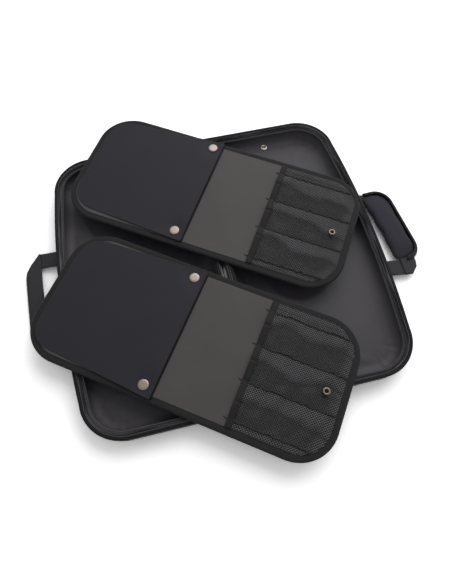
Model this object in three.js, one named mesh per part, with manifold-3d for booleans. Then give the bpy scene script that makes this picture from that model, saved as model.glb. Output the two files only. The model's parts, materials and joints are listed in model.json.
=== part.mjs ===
// A hard-shelled knife case, open flat: two shallow trays joined by a fabric spine, each with a carrying
// handle, and two removable knife boards lying across them. Millimetres, +Z up, the floor at zero.
import * as THREE from 'three';
import { mergeVertices } from 'three/addons/utils/BufferGeometryUtils.js';
import Module from 'manifold-3d';

const wasm = await Module();
wasm.setup();

// Gaps: between touching pieces, and how far a cutting tool runs past what it cuts
const fit = 0.3;
const overrun = 5;

// The two trays
const trayLength = 450;
const trayWidth = 229;
const trayDepth = 28;
const shellWall = 2.4;
const shellFloor = 2.4;
const outerCorner = 56;
const spineCorner = 10;
const sharpestCorner = 1.5;
const sideBow = 9;
const footRound = 7;
const spineGap = 18;

// What lines and edges a tray
const liningThick = 1.2;
const pipingProud = 1.5;
const pipingHeight = 3.5;
const zipTapeWidth = 7;
const zipTapeThick = 1;
const zipTapeDrop = 1.5;
const coilDiameter = 2.8;
const zipEndInset = 20;

// The fabric spine, a trough that stays inside the circle that the opening cover sweeps
const webThick = 1;
const spineCordDiameter = 4.6;

// Press studs
const capDiameter = 15;
const capThick = 2;
const collarDiameter = 6;
const postDiameter = 4;
const postHeight = 2.2;
const studBaseDiameter = 9;
const studBaseThick = 0.9;
const ringDiameter = 11;
const ringFlangeThick = 1;
const ringBarrelDiameter = 8;
const liningStudInset = 20;

// Zip sliders and their pulls
const sliderLength = 12;
const sliderHeight = 9;
const sliderThick = 4.6;
const sliderDrop = 1.5;
const sliderFromSpine = 17;
const earThick = 1.4;
const pullBar = 1.6;
const knuckleDiameter = 4.4;
const knuckleBore = 2.6;
const knuckleLength = 5;
const pullWidth = 7;
const pullThick = 1.6;
const pullLength = 19;

// Webbing handles
const webbingWidth = 25;
const webbingThick = 2.2;
const patchThick = 1.8;
const patchHeight = 14;
const patchFoot = 5;
const handleSpan = 158;
const leftHandleReach = 56;
const rightHandleReach = 50;
const mitreLength = 22;
const leftHandleTilt = 9.5;
const rightHandleTilt = 5;

// The padded grip on the right handle
const gripLength = 130;
const gripWidth = 48;
const gripThick = 13;
const gripOuterCorner = 26;
const gripInnerCorner = 12;
const gripTilt = 6;
const gripMiddleX = 35;
const gripMiddleY = 5;
const gripBindingThick = 1.4;
const gripBindingHeight = 5;
const gripBindingStart = 4;

// The knife boards
const boardLength = 440;
const boardWidth = 205;
const boardCorner = 55;
const coreThick = 4;
const bindingSkin = 0.7;
const bindingFace = 10;
const bindingLip = 0.5;
const sheetThick = 0.8;

// Where the boards lie: the middle of the long edge that each turns to the other, and its angle
const farBoardEdgeX = -42.53;
const farBoardEdgeY = 17.97;
const farBoardAngle = -33.3;
const nearBoardEdgeX = -6.74;
const nearBoardEdgeY = -32.95;
const nearBoardAngle = -35.5;

// The guard flap on a board, and how far off the middle each one is sewn on
const flapThick = 1.2;
const flapLength = 199.5;
const flapEndInset = 4.2;
const flapRootInset = 11;
const capFromEdge = 15;
const capFromSide = 19;
const farFlapShift = 3.5;
const nearFlapShift = -0.5;

// The net pocket on a board, whose seams and ring lie a little off the middle
const pocketShift = -3;
const pocketLength = 130.5;
const mouthTapeWidth = 6.5;
const mouthTapeThick = 1.4;
const pocketHeight = 4.6;
const netThick = 0.8;
const netPitch = 14;
const netGap = 10;
const netMargin = 8;
const edgeWallThick = 1.2;
const seamThick = 1.2;
const seamFromSide = 23;
const seamCount = 4;
const ringFromEnd = 31.5;

// How finely curves are divided
const outlineSteps = 4;
const boardSteps = 4;
const roundSides = 14;
const smallSides = 10;
const samePoint = 1e-6;

// Heights and places that follow from the sizes above
const halfTurn = Math.PI;
const quarterTurn = halfTurn / 2;
const spineHalf = spineGap / 2;
const trayMiddle = spineHalf + trayWidth / 2;
const boardSeat = trayDepth + fit;
const coreLow = bindingLip + fit;
const coreHigh = coreLow + coreThick;
const bindingHigh = coreHigh + fit + bindingLip;
const sheetLow = coreHigh + fit;
const sheetHigh = sheetLow + sheetThick;
const flapLow = sheetHigh + fit;
const flapHigh = flapLow + flapThick;
const netLow = sheetHigh + pocketHeight;
const netHigh = netLow + netThick;
const windowInset = bindingFace + fit;
const flapEdgeX = flapLength - boardLength / 2;
const flapEndHalf = boardWidth / 2 - flapEndInset;
const flapRootHalf = boardWidth / 2 - flapRootInset;
const capX = flapEdgeX - capFromEdge;
const capY = boardWidth / 2 - capFromSide;
const mouthX = boardLength / 2 - pocketLength;
const ringX = boardLength / 2 - ringFromEnd;
const seamSpacing = (boardWidth - 2 * seamFromSide) / (seamCount - 1);
const handleHingeHeight = patchFoot + patchHeight / 2;
const patchBack = trayMiddle + bowedSideAt(handleSpan / 2 - webbingWidth) + fit;
const handleHingeOut = patchBack + patchThick + fit + webbingThick / 2;

// Colours: base colour, roughness, metalness
const finishes = {
  shell: [0x1c1c1f, 0.55, 0],
  lining: [0x46444c, 0.62, 0],
  piping: [0x121214, 0.5, 0],
  zipTape: [0x3a383e, 0.7, 0],
  coil: [0x6c6a70, 0.45, 0],
  webbing: [0x2e2d33, 0.75, 0],
  pad: [0x2f2e36, 0.8, 0],
  binding: [0x2b2b2b, 0.75, 0],
  board: [0x202022, 0.6, 0],
  sheet: [0x534e4d, 0.65, 0],
  flap: [0x313137, 0.7, 0],
  net: [0x3c3c40, 0.85, 0],
  nickel: [0xcdbfb4, 0.3, 1],
  gunmetal: [0x55555a, 0.4, 1],
};

function material(name) {
  const [color, roughness, metalness] = finishes[name];
  return new THREE.MeshStandardMaterial({ color, roughness, metalness });
}

function radians(degrees) {
  return THREE.MathUtils.degToRad(degrees);
}

// Geometry in, solid out, so that pieces can be joined and cut
function toSolid(geometry) {
  const bare = geometry.clone();
  bare.deleteAttribute('normal');
  bare.deleteAttribute('uv');
  const merged = mergeVertices(bare);
  return new wasm.Manifold(new wasm.Mesh({
    numProp: 3,
    vertProperties: Float32Array.from(merged.attributes.position.array),
    triVerts: Uint32Array.from(merged.index.array),
  }));
}

function toGeometry(solid) {
  const mesh = solid.getMesh();
  const geometry = new THREE.BufferGeometry();
  geometry.setAttribute('position', new THREE.BufferAttribute(mesh.vertProperties, 3));
  geometry.setIndex(new THREE.BufferAttribute(mesh.triVerts, 1));
  geometry.computeVertexNormals();
  return geometry;
}

function piece(name, finish, solid) {
  const mesh = new THREE.Mesh(toGeometry(solid), material(finish));
  mesh.name = name;
  return mesh;
}

function box(lowX, highX, lowY, highY, lowZ, highZ) {
  const geometry = new THREE.BoxGeometry(highX - lowX, highY - lowY, highZ - lowZ);
  geometry.translate((lowX + highX) / 2, (lowY + highY) / 2, (lowZ + highZ) / 2);
  return toSolid(geometry);
}

// A flat outline raised from one height to another
function prism(points, low, high) {
  const shape = new THREE.Shape(points);
  const geometry = new THREE.ExtrudeGeometry(shape, { depth: high - low, bevelEnabled: false });
  geometry.translate(0, 0, low);
  return toSolid(geometry);
}

// Outlines with equally many points, stacked at rising heights and skinned
function loft(rings) {
  const count = rings[0].points.length;
  const positions = rings.flatMap(({ points, z }) => points.flatMap((p) => [p.x, p.y, z]));
  const index = [];
  for (let r = 0; r + 1 < rings.length; r += 1) {
    for (let i = 0; i < count; i += 1) {
      const a = r * count + i;
      const b = r * count + (i + 1) % count;
      index.push(a, b, b + count, a, b + count, a + count);
    }
  }
  const last = (rings.length - 1) * count;
  const bottom = THREE.ShapeUtils.triangulateShape(rings[0].points, []);
  const top = THREE.ShapeUtils.triangulateShape(rings[rings.length - 1].points, []);
  bottom.forEach(([a, b, c]) => index.push(a, c, b));
  top.forEach(([a, b, c]) => index.push(last + a, last + b, last + c));
  const geometry = new THREE.BufferGeometry();
  geometry.setAttribute('position', new THREE.Float32BufferAttribute(positions, 3));
  geometry.setIndex(index);
  return toSolid(geometry);
}

// A turned piece, from a profile of [radius, height] pairs that starts and ends on the axis or closes
function turned(profile, sides) {
  const geometry = new THREE.LatheGeometry(profile.map(([r, z]) => new THREE.Vector2(r, z)), sides);
  geometry.rotateX(quarterTurn);
  return toSolid(geometry);
}

// A rod of the given radius between two places along X
function rodX(radius, lowX, highX, y, z, sides) {
  const geometry = new THREE.CylinderGeometry(radius, radius, highX - lowX, sides);
  geometry.rotateZ(quarterTurn);
  geometry.translate((lowX + highX) / 2, y, z);
  return toSolid(geometry);
}

function rodY(radius, lowY, highY, x, z, sides) {
  const geometry = new THREE.CylinderGeometry(radius, radius, highY - lowY, sides);
  geometry.translate(x, (lowY + highY) / 2, z);
  return toSolid(geometry);
}

function rodZ(radius, lowZ, highZ, x, y, sides) {
  const geometry = new THREE.CylinderGeometry(radius, radius, highZ - lowZ, sides);
  geometry.rotateX(quarterTurn);
  geometry.translate(x, y, (lowZ + highZ) / 2);
  return toSolid(geometry);
}

// Points of a drawn shape, without the doubled ones where its curves meet
function shapePoints(shape, steps) {
  const points = shape.getPoints(steps);
  const isNew = (p, i) => p.distanceTo(points[(i + points.length - 1) % points.length]) > samePoint;
  return points.filter(isNew);
}

// Outline of a tray drawn in by an inset: large corners and a gently bowed long side away from the spine
function trayOutline(inset) {
  const side = trayWidth / 2 - inset;
  const end = trayLength / 2 - inset;
  const outer = outerCorner - inset;
  const inner = Math.max(spineCorner - inset, sharpestCorner);
  const outerX = side - sideBow - outer;
  const shape = new THREE.Shape();
  shape.moveTo(-side + inner, -end);
  shape.lineTo(outerX, -end);
  shape.absarc(outerX, -end + outer, outer, -quarterTurn, 0);
  shape.quadraticCurveTo(side + sideBow, 0, side - sideBow, end - outer);
  shape.absarc(outerX, end - outer, outer, 0, quarterTurn);
  shape.lineTo(-side + inner, end);
  shape.absarc(-side + inner, end - inner, inner, quarterTurn, halfTurn);
  shape.lineTo(-side, -end + inner);
  shape.absarc(-side + inner, -end + inner, inner, halfTurn, halfTurn + quarterTurn);
  return shapePoints(shape, outlineSteps);
}

// How far from a tray's middle its bowed side lies, at a given place along it
function bowedSideAt(y) {
  const bowReach = trayLength / 2 - outerCorner;
  return trayWidth / 2 - sideBow * (y / bowReach) ** 2;
}

// A rectangle with round corners, those at +X and those at -X each with their own radius
function roundedOutline(length, width, radiusHigh, radiusLow, steps) {
  const x = length / 2;
  const y = width / 2;
  const shape = new THREE.Shape();
  shape.moveTo(-x + radiusLow, -y);
  shape.lineTo(x - radiusHigh, -y);
  shape.absarc(x - radiusHigh, -y + radiusHigh, radiusHigh, -quarterTurn, 0);
  shape.lineTo(x, y - radiusHigh);
  shape.absarc(x - radiusHigh, y - radiusHigh, radiusHigh, 0, quarterTurn);
  shape.lineTo(-x + radiusLow, y);
  shape.absarc(-x + radiusLow, y - radiusLow, radiusLow, quarterTurn, halfTurn);
  shape.lineTo(-x, -y + radiusLow);
  shape.absarc(-x + radiusLow, -y + radiusLow, radiusLow, halfTurn, halfTurn + quarterTurn);
  return shapePoints(shape, steps);
}

function boardOutline(inset) {
  const radius = boardCorner - inset;
  return roundedOutline(boardLength - 2 * inset, boardWidth - 2 * inset, radius, radius, boardSteps);
}

// Tray bodies, whose outer foot is rounded in steps
const footShares = [[1, 0], [0.42, 0.1], [0.1, 0.42], [0, 1]];

function trayBlock(inset, low, high, round) {
  const foot = footShares.map(([inward, up]) => (
    { points: trayOutline(inset + inward * round), z: low + up * round }));
  return loft([...foot, { points: trayOutline(inset), z: high }]);
}

function trayShell() {
  const outside = trayBlock(0, 0, trayDepth, footRound);
  return outside.subtract(trayBlock(shellWall, shellFloor, trayDepth + overrun, footRound));
}

const liningInset = shellWall + fit;
const liningLow = shellFloor + fit;
const zipTapeHigh = trayDepth - zipTapeDrop;
const zipTapeLow = zipTapeHigh - zipTapeThick;
const liningHigh = zipTapeLow - fit;

function trayLining() {
  const outside = trayBlock(liningInset, liningLow, liningHigh, footRound);
  return outside.subtract(
    trayBlock(liningInset + liningThick, liningLow + liningThick, liningHigh + overrun, footRound),
  );
}

// The bead round the rim stands proud of the shell, with a rounded outer edge
function trayPiping() {
  const low = trayDepth - pipingHeight;
  const proudShares = [[0.35, 0], [1, 0.3], [1, 0.7], [0.35, 1]];
  const bead = loft(proudShares.map(([proud, up]) => (
    { points: trayOutline(-fit - proud * pipingProud), z: low + up * pipingHeight })));
  return bead.subtract(prism(trayOutline(-fit), low - overrun, trayDepth + overrun));
}

// What is cut off a ring so that it runs round three sides only, open towards the spine
function spineSideCut() {
  const end = -trayWidth / 2 + zipEndInset;
  return box(-trayWidth, end, -trayLength, trayLength, 0, trayDepth + overrun);
}

const tapeInset = shellWall + fit;
const coilInset = tapeInset + zipTapeWidth + fit;

function zipTape() {
  const band = prism(trayOutline(tapeInset), zipTapeLow, zipTapeHigh);
  const inside = prism(trayOutline(tapeInset + zipTapeWidth), zipTapeLow - overrun, zipTapeHigh + overrun);
  return band.subtract(inside).subtract(spineSideCut());
}

// One wall of the coil's bead, at rising heights; inward is 1 for its outer wall and -1 for its inner one
const beadShares = [[0.5, -1], [0, -0.5], [0, 0.5], [0.5, 1]];

function coilWall(inset, inward) {
  const middle = (zipTapeLow + zipTapeHigh) / 2;
  const radius = coilDiameter / 2;
  return beadShares.map(([slant, up]) => (
    { points: trayOutline(inset + inward * slant * radius), z: middle + up * radius }));
}

function zipCoil() {
  const inner = coilWall(coilInset + coilDiameter, -1);
  const lowest = inner[0];
  const highest = inner[inner.length - 1];
  const hollow = loft([
    { points: lowest.points, z: lowest.z - overrun },
    ...inner,
    { points: highest.points, z: highest.z + overrun },
  ]);
  return loft(coilWall(coilInset, 1)).subtract(hollow).subtract(spineSideCut());
}

// The spine's web hangs between the trays as a half pipe, with a corded ridge along its middle
function spineWeb() {
  const outer = spineHalf - pipingProud - 2 * fit;
  const inner = outer - webThick;
  const shape = new THREE.Shape();
  shape.absarc(0, 0, outer, halfTurn, 2 * halfTurn);
  shape.lineTo(inner, 0);
  shape.absarc(0, 0, inner, 2 * halfTurn, halfTurn, true);
  return alongSpine(shapePoints(shape, outlineSteps), trayDepth);
}

function spineCord() {
  const webInner = spineHalf - pipingProud - 2 * fit - webThick;
  const radius = spineCordDiameter / 2;
  const shape = new THREE.Shape();
  shape.absarc(0, 0, radius, 0, 2 * halfTurn);
  return alongSpine(shapePoints(shape, outlineSteps), trayDepth - webInner + fit + radius);
}

function alongSpine(points, z) {
  const length = trayLength - 2 * spineCorner;
  const geometry = new THREE.ExtrudeGeometry(new THREE.Shape(points), { depth: length, bevelEnabled: false });
  geometry.translate(0, 0, -length / 2);
  geometry.rotateX(quarterTurn);
  geometry.translate(0, 0, z);
  return toSolid(geometry);
}

// Press studs, each standing on the height given as zero
function liningStud() {
  const base = studBaseDiameter / 2;
  const post = postDiameter / 2;
  return turned([[0, 0], [base, 0], [base, studBaseThick], [post, studBaseThick],
    [post, studBaseThick + postHeight], [0, studBaseThick + postHeight]], roundSides);
}

// Zip sliders lie outside the short wall, just under the rim; local Y points away from the case
const noseShare = 0.5;
const pullAxisShare = 0.25;
const sliderMiddle = trayDepth - sliderDrop - sliderHeight / 2;
const pullAxisOut = sliderThick + fit + knuckleDiameter / 2;
const pullAxisUp = sliderHeight * pullAxisShare;

function zipSlider() {
  const half = sliderHeight / 2;
  const nose = new THREE.Shape();
  nose.moveTo(-sliderLength / 2, -half * noseShare);
  nose.lineTo(0, -half);
  nose.lineTo(sliderLength / 2, -half);
  nose.lineTo(sliderLength / 2, half);
  nose.lineTo(0, half);
  nose.lineTo(-sliderLength / 2, half * noseShare);
  const plate = new THREE.ExtrudeGeometry(nose, { depth: sliderThick, bevelEnabled: false });
  plate.rotateX(quarterTurn);
  plate.translate(0, sliderThick, 0);
  const earLow = knuckleLength / 2 + fit;
  const earOut = pullAxisOut + pullBar / 2;
  const ear = (x) => box(x, x + earThick, 0, earOut, pullAxisUp - pullBar, pullAxisUp + pullBar);
  const barHalf = earLow + earThick / 2;
  const bar = rodX(pullBar / 2, -barHalf, barHalf, pullAxisOut, pullAxisUp, smallSides);
  return toSolid(plate).add(ear(earLow)).add(ear(-earLow - earThick)).add(bar);
}

// A pull hangs from its knuckle, which is the origin here
function zipPull() {
  const knuckle = rodX(knuckleDiameter / 2, -knuckleLength / 2, knuckleLength / 2, 0, 0, smallSides);
  const leaf = box(-pullWidth / 2, pullWidth / 2, -pullThick / 2, pullThick / 2,
    -pullLength, -knuckleDiameter / 2 - fit);
  const neck = box(-knuckleLength / 2, knuckleLength / 2, -pullThick / 2, pullThick / 2, -pullLength / 2, 0);
  const bore = rodX(knuckleBore / 2, -pullWidth, pullWidth, 0, 0, smallSides);
  return knuckle.add(neck).add(leaf).subtract(bore);
}

// A webbing loop folded flat, mitred at its two corners: origin on its hinge line, reaching out along X
const mitreBendShare = 0.125;

function loopOutline(reach, grow) {
  const span = handleSpan / 2 + grow;
  const out = reach + grow;
  const bend = out - mitreLength * mitreBendShare;
  const width = webbingWidth + 2 * grow;
  return [[0, -span], [out - mitreLength, -span], [bend, -span + mitreLength],
    [out, -span + 2 * mitreLength], [out, span - 2 * mitreLength], [bend, span - mitreLength],
    [out - mitreLength, span], [0, span], [0, span - width], [out - width, span - width],
    [out - width, -span + width], [0, -span + width]].map(([x, y]) => new THREE.Vector2(x, y));
}

function handleWebbing(reach) {
  const half = webbingThick / 2;
  const flat = prism(loopOutline(reach, 0), -half, half);
  const high = handleSpan / 2;
  const low = high - webbingWidth;
  return flat.add(rodY(half, low, high, 0, 0, smallSides)).add(rodY(half, -high, -low, 0, 0, smallSides));
}

function handlePatch() {
  const half = patchHeight / 2;
  return box(-patchThick, 0, -webbingWidth / 2, webbingWidth / 2, -half, half);
}

// The padded grip: crowned above and below, sides drawn in, with a passage for the webbing
function gripOutline(inset) {
  const points = roundedOutline(gripWidth - 2 * inset, gripLength - 2 * inset,
    gripOuterCorner - inset, Math.max(gripInnerCorner - inset, sharpestCorner), boardSteps);
  const turn = radians(gripTilt);
  const middle = new THREE.Vector2(gripMiddleX, gripMiddleY);
  return points.map((p) => p.clone().rotateAround(new THREE.Vector2(), turn).add(middle));
}

function gripPad() {
  const half = gripThick / 2;
  const crownShares = [[0.26, -1], [0.14, -0.9], [0.05, -0.66], [0, -0.3], [0, 0.3], [0.05, 0.66],
    [0.14, 0.9], [0.26, 1]];
  const pad = loft(crownShares.map(([inward, up]) => (
    { points: gripOutline(inward * gripWidth), z: up * half })));
  const passage = webbingThick / 2 + fit;
  return pad.subtract(prism(loopOutline(rightHandleReach, fit), -passage, passage));
}

// The bound edge follows the grip's outer side only
function gripBinding() {
  const half = gripBindingHeight / 2;
  const band = prism(gripOutline(-fit - gripBindingThick), -half, half);
  const cut = gripMiddleX + gripBindingStart;
  return band.subtract(prism(gripOutline(-fit), -half - overrun, half + overrun))
    .subtract(box(-gripLength, cut, -gripLength, gripLength, -gripThick, gripThick))
    .subtract(prism(loopOutline(rightHandleReach, fit), -half - overrun, half + overrun));
}

// Board pieces, in the board's own frame: X along it, flap at -X, net pocket at +X, its underside at zero
function boardCore() {
  return prism(boardOutline(bindingSkin + fit), coreLow, coreHigh);
}

// The binding tape is a channel round the whole edge
function boardBinding() {
  const low = coreLow - fit;
  const high = coreHigh + fit;
  return prism(boardOutline(0), 0, bindingHigh)
    .subtract(prism(boardOutline(bindingSkin), low, high))
    .subtract(prism(boardOutline(bindingFace), -overrun, bindingHigh + overrun));
}

const mouthTapeLow = mouthX - mouthTapeWidth;

function studPlaces(flapShift) {
  return [[capX, capY + flapShift], [capX, -capY + flapShift]];
}

function faceSheet(flapShift) {
  const full = prism(boardOutline(windowInset), sheetLow, sheetHigh);
  const cut = box(mouthX - fit / 2, boardLength, -boardWidth, boardWidth, 0, netHigh);
  const hole = studBaseDiameter / 2 + fit;
  return studPlaces(flapShift).reduce(
    (sheet, [x, y]) => sheet.subtract(rodZ(hole, sheetLow - overrun, sheetHigh + overrun, x, y, roundSides)),
    full.subtract(cut),
  );
}

function pocketBacking() {
  const cut = box(-boardLength, mouthX + fit / 2, -boardWidth, boardWidth, 0, netHigh);
  return prism(boardOutline(windowInset), sheetLow, sheetHigh).subtract(cut);
}

// The pocket's sewn edge stands up round its three closed sides
function pocketEdge() {
  const low = sheetHigh + fit;
  const high = netLow - fit;
  return prism(boardOutline(windowInset), low, high)
    .subtract(prism(boardOutline(windowInset + edgeWallThick), low - overrun, high + overrun))
    .subtract(box(-boardLength, mouthTapeLow, -boardWidth, boardWidth, 0, netHigh));
}

// How far along the board an inset outline reaches at a given place across it
function reachAt(y, inset) {
  const radius = boardCorner - inset;
  const pastCentre = Math.max(Math.abs(y) - (boardWidth / 2 - boardCorner), 0);
  return boardLength / 2 - boardCorner + Math.sqrt(radius * radius - pastCentre * pastCentre);
}

function seamY(index) {
  return pocketShift + (index - (seamCount - 1) / 2) * seamSpacing;
}

function pocketSeam(index) {
  const y = seamY(index);
  const half = seamThick / 2;
  const end = reachAt(Math.abs(y) + half, windowInset + edgeWallThick) - fit;
  return box(mouthTapeLow, end, y - half, y + half, sheetHigh + fit, netLow - fit);
}

function mouthTape() {
  const half = boardWidth / 2 - windowInset;
  return box(mouthTapeLow, mouthX - fit / 2, -half, half, netLow, netLow + mouthTapeThick);
}

// The net: a thin panel with a grid of gaps, none of them cut through its edge or the ring's place
function netGapPlaces() {
  const places = [];
  const columns = Math.floor((boardLength / 2 - mouthX) / netPitch);
  const rows = Math.floor(boardWidth / netPitch);
  for (let c = 0; c < columns; c += 1) {
    for (let r = 0; r < rows; r += 1) {
      const x = mouthX + netMargin + (c + 0.5) * netPitch;
      const y = (r - (rows - 1) / 2) * netPitch;
      const farX = x + netGap / 2;
      const farY = Math.abs(y) + netGap / 2;
      const inWidth = farY < boardWidth / 2 - windowInset - netMargin / 2;
      const inLength = inWidth && farX < reachAt(farY, windowInset + netMargin / 2);
      const clearOfRing = Math.hypot(x - ringX, y - pocketShift) > ringDiameter + netGap / 2;
      if (inLength && clearOfRing) places.push([x, y]);
    }
  }
  return places;
}

function pocketNet() {
  const half = netGap / 2;
  const low = netLow - overrun;
  const high = netHigh + overrun;
  const panel = prism(boardOutline(windowInset), netLow, netHigh)
    .subtract(box(-boardLength, mouthX + fit / 2, -boardWidth, boardWidth, 0, high))
    .subtract(rodZ(ringBarrelDiameter / 2 + fit, low, high, ringX, pocketShift, roundSides));
  return netGapPlaces().reduce(
    (net, [x, y]) => net.subtract(box(x - half, x + half, y - half, y + half, low, high)),
    panel,
  );
}

// The ring socket near the board's end stands on the pocket's backing and clamps the net under its flange
function ringSocket() {
  const barrel = ringBarrelDiameter / 2;
  const flange = ringDiameter / 2;
  const bore = postDiameter / 2 + fit;
  const low = sheetHigh + fit;
  const neck = netHigh + fit;
  const high = neck + ringFlangeThick;
  return turned([[0, low], [barrel, low], [barrel, neck], [flange, neck], [flange, high], [bore, high],
    [bore, high - postHeight], [0, high - postHeight]], roundSides);
}

// A board stud, sunk into the face sheet, and the cap that is pressed onto it through the flap
const postInCapShare = 1 / 3;

function boardStud() {
  const base = studBaseDiameter / 2;
  const post = postDiameter / 2;
  const baseHigh = sheetLow + studBaseThick;
  const high = flapHigh + fit + capThick * postInCapShare;
  return turned([[0, sheetLow], [base, sheetLow], [base, baseHigh],
    [post, baseHigh], [post, high], [0, high]], roundSides);
}

function flapCap() {
  const collar = collarDiameter / 2;
  const bore = postDiameter / 2 + fit;
  const rim = capDiameter / 2;
  const low = sheetLow + studBaseThick + fit;
  const under = flapHigh + fit;
  const roof = under + capThick * postInCapShare + fit;
  const domeShares = [[1, 0], [1, 0.4], [0.92, 0.8], [0.7, 1]];
  return turned([[0, roof], [bore, roof], [bore, low], [collar, low], [collar, under],
    ...domeShares.map(([out, up]) => [out * rim, under + up * capThick]), [0, under + capThick]], roundSides);
}

// The guard flap is sewn in at the board's end and widens a little towards its free edge
const flapCornerShare = 0.125;

function guardFlap(flapShift) {
  const end = -boardLength / 2 + windowInset;
  const corner = boardCorner - windowInset;
  const bend = end + corner * flapCornerShare;
  const shape = new THREE.Shape();
  shape.moveTo(flapEdgeX, -flapEndHalf);
  shape.lineTo(flapEdgeX, flapEndHalf);
  shape.lineTo(end + corner, flapRootHalf);
  shape.quadraticCurveTo(bend, flapRootHalf, end, flapRootHalf - corner);
  shape.lineTo(end, -flapRootHalf + corner);
  shape.quadraticCurveTo(bend, -flapRootHalf, end + corner, -flapRootHalf);
  const hole = collarDiameter / 2 + fit;
  return studPlaces(flapShift).reduce(
    (flap, [x, y]) => flap.subtract(rodZ(hole, flapLow - overrun, flapHigh + overrun, x, y, roundSides)),
    prism(shapePoints(shape, outlineSteps), flapLow, flapHigh).translate(0, flapShift, 0),
  );
}

function board(prefix, flapShift) {
  const group = new THREE.Group();
  group.add(
    piece(`${prefix}_core`, 'board', boardCore()),
    piece(`${prefix}_binding`, 'binding', boardBinding()),
    piece(`${prefix}_face_sheet`, 'sheet', faceSheet(flapShift)),
    piece(`${prefix}_pocket_backing`, 'board', pocketBacking()),
    piece(`${prefix}_pocket_edge`, 'binding', pocketEdge()),
    piece(`${prefix}_pocket_net`, 'net', pocketNet()),
    piece(`${prefix}_mouth_tape`, 'binding', mouthTape()),
    piece(`${prefix}_flap`, 'flap', guardFlap(flapShift)),
  );
  const ring = piece(`${prefix}_ring_socket`, 'nickel', ringSocket());
  ring.position.set(ringX, pocketShift, 0);
  group.add(ring);
  for (let i = 0; i < seamCount; i += 1) {
    group.add(piece(`${prefix}_pocket_seam_${i + 1}`, 'net', pocketSeam(i)));
  }
  studPlaces(flapShift).forEach(([x, y], i) => {
    const stud = piece(`${prefix}_stud_${i + 1}`, 'nickel', boardStud());
    const cap = piece(`${prefix}_flap_cap_${i + 1}`, 'nickel', flapCap());
    stud.position.set(x, y, 0);
    cap.position.set(x, y, 0);
    group.add(stud, cap);
  });
  return group;
}

// A board laid on the rims by the middle of one long edge; side is 1 where the board lies beyond that edge
function placedBoard(prefix, flapShift, edgeX, edgeY, angle, side) {
  const turn = radians(angle);
  const fromEdge = new THREE.Vector2(0, side * boardWidth / 2).rotateAround(new THREE.Vector2(), turn);
  const group = board(prefix, flapShift);
  group.position.set(edgeX + fromEdge.x, edgeY + fromEdge.y, boardSeat);
  group.rotation.z = turn;
  return group;
}

// One half of the case, drawn as the right one; the left one is the same turned half a turn
function half(prefix, turn) {
  const group = new THREE.Group();
  group.add(
    piece(`${prefix}_shell`, 'shell', trayShell()),
    piece(`${prefix}_lining`, 'lining', trayLining()),
    piece(`${prefix}_piping`, 'piping', trayPiping()),
    piece(`${prefix}_zip_tape`, 'zipTape', zipTape()),
    piece(`${prefix}_zip_coil`, 'coil', zipCoil()),
  );
  const stud = piece(`${prefix}_lining_stud`, 'nickel', liningStud());
  const studY = trayLength / 2 - liningStudInset;
  stud.position.set(0, turn === 0 ? studY : -studY, liningLow + liningThick + fit);
  group.add(stud);
  group.rotation.z = turn;
  group.position.x = turn === 0 ? trayMiddle : -trayMiddle;
  return group;
}

// A handle on its sewn patches, drawn for the right side
function handle(prefix, reach, droop, turn) {
  const group = new THREE.Group();
  const loop = new THREE.Group();
  loop.add(piece(`${prefix}_handle_webbing`, 'webbing', handleWebbing(reach)));
  loop.position.set(handleHingeOut, 0, handleHingeHeight);
  loop.rotation.y = radians(droop);
  group.add(loop);
  [['front', -1], ['rear', 1]].forEach(([place, sign]) => {
    const patch = piece(`${prefix}_handle_patch_${place}`, 'webbing', handlePatch());
    const y = sign * (handleSpan - webbingWidth) / 2;
    patch.position.set(patchBack + patchThick, turn === 0 ? y : -y, handleHingeHeight);
    group.add(patch);
  });
  group.rotation.z = turn;
  return { group, loop };
}

// A slider and its pull, drawn for the rear end; the front one is the same turned half a turn
function zipEnd(prefix, turn) {
  const group = new THREE.Group();
  const fromSpine = spineHalf + sliderFromSpine;
  const place = new THREE.Group();
  place.add(piece(`${prefix}_zip_slider`, 'gunmetal', zipSlider()));
  const pull = piece(`${prefix}_zip_pull`, 'gunmetal', zipPull());
  pull.position.set(0, pullAxisOut, pullAxisUp);
  place.add(pull);
  const out = trayLength / 2 + pipingProud + 2 * fit;
  place.position.set(turn === 0 ? -fromSpine : fromSpine, out, sliderMiddle);
  group.add(place);
  group.rotation.z = turn;
  return group;
}

const knifeCase = new THREE.Group();
const leftHandle = handle('left', leftHandleReach, leftHandleTilt, halfTurn);
const rightHandle = handle('right', rightHandleReach, rightHandleTilt, 0);
rightHandle.loop.add(
  piece('right_grip_pad', 'pad', gripPad()),
  piece('right_grip_binding', 'binding', gripBinding()),
);
knifeCase.add(
  half('left', halfTurn),
  half('right', 0),
  piece('spine_web', 'piping', spineWeb()),
  piece('spine_cord', 'piping', spineCord()),
  leftHandle.group,
  rightHandle.group,
  zipEnd('rear', 0),
  zipEnd('front', halfTurn),
  placedBoard('far_board', farFlapShift, farBoardEdgeX, farBoardEdgeY, farBoardAngle, 1),
  placedBoard('near_board', nearFlapShift, nearBoardEdgeX, nearBoardEdgeY, nearBoardAngle, -1),
);

// The origin is under the middle of the left tray, the one that stays down
knifeCase.position.x = trayMiddle;
const model = new THREE.Group();
model.add(knifeCase);

export default model;
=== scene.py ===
# %% [markdown]
# # A hard knife case, open flat
# The case is two shallow trays on a fabric spine. Two knife boards lie across them at a slant. Almost
# everything that shows is black cloth, so the forms are read from folds, edges and sheen, not from colour.
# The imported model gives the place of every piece. This lesson builds the cloth, tape, net and thread on it.

# %% Load the frame
import json
import math

import bpy
import numpy as np
from mathutils import Matrix, Vector
from mathutils.geometry import delaunay_2d_cdt


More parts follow.
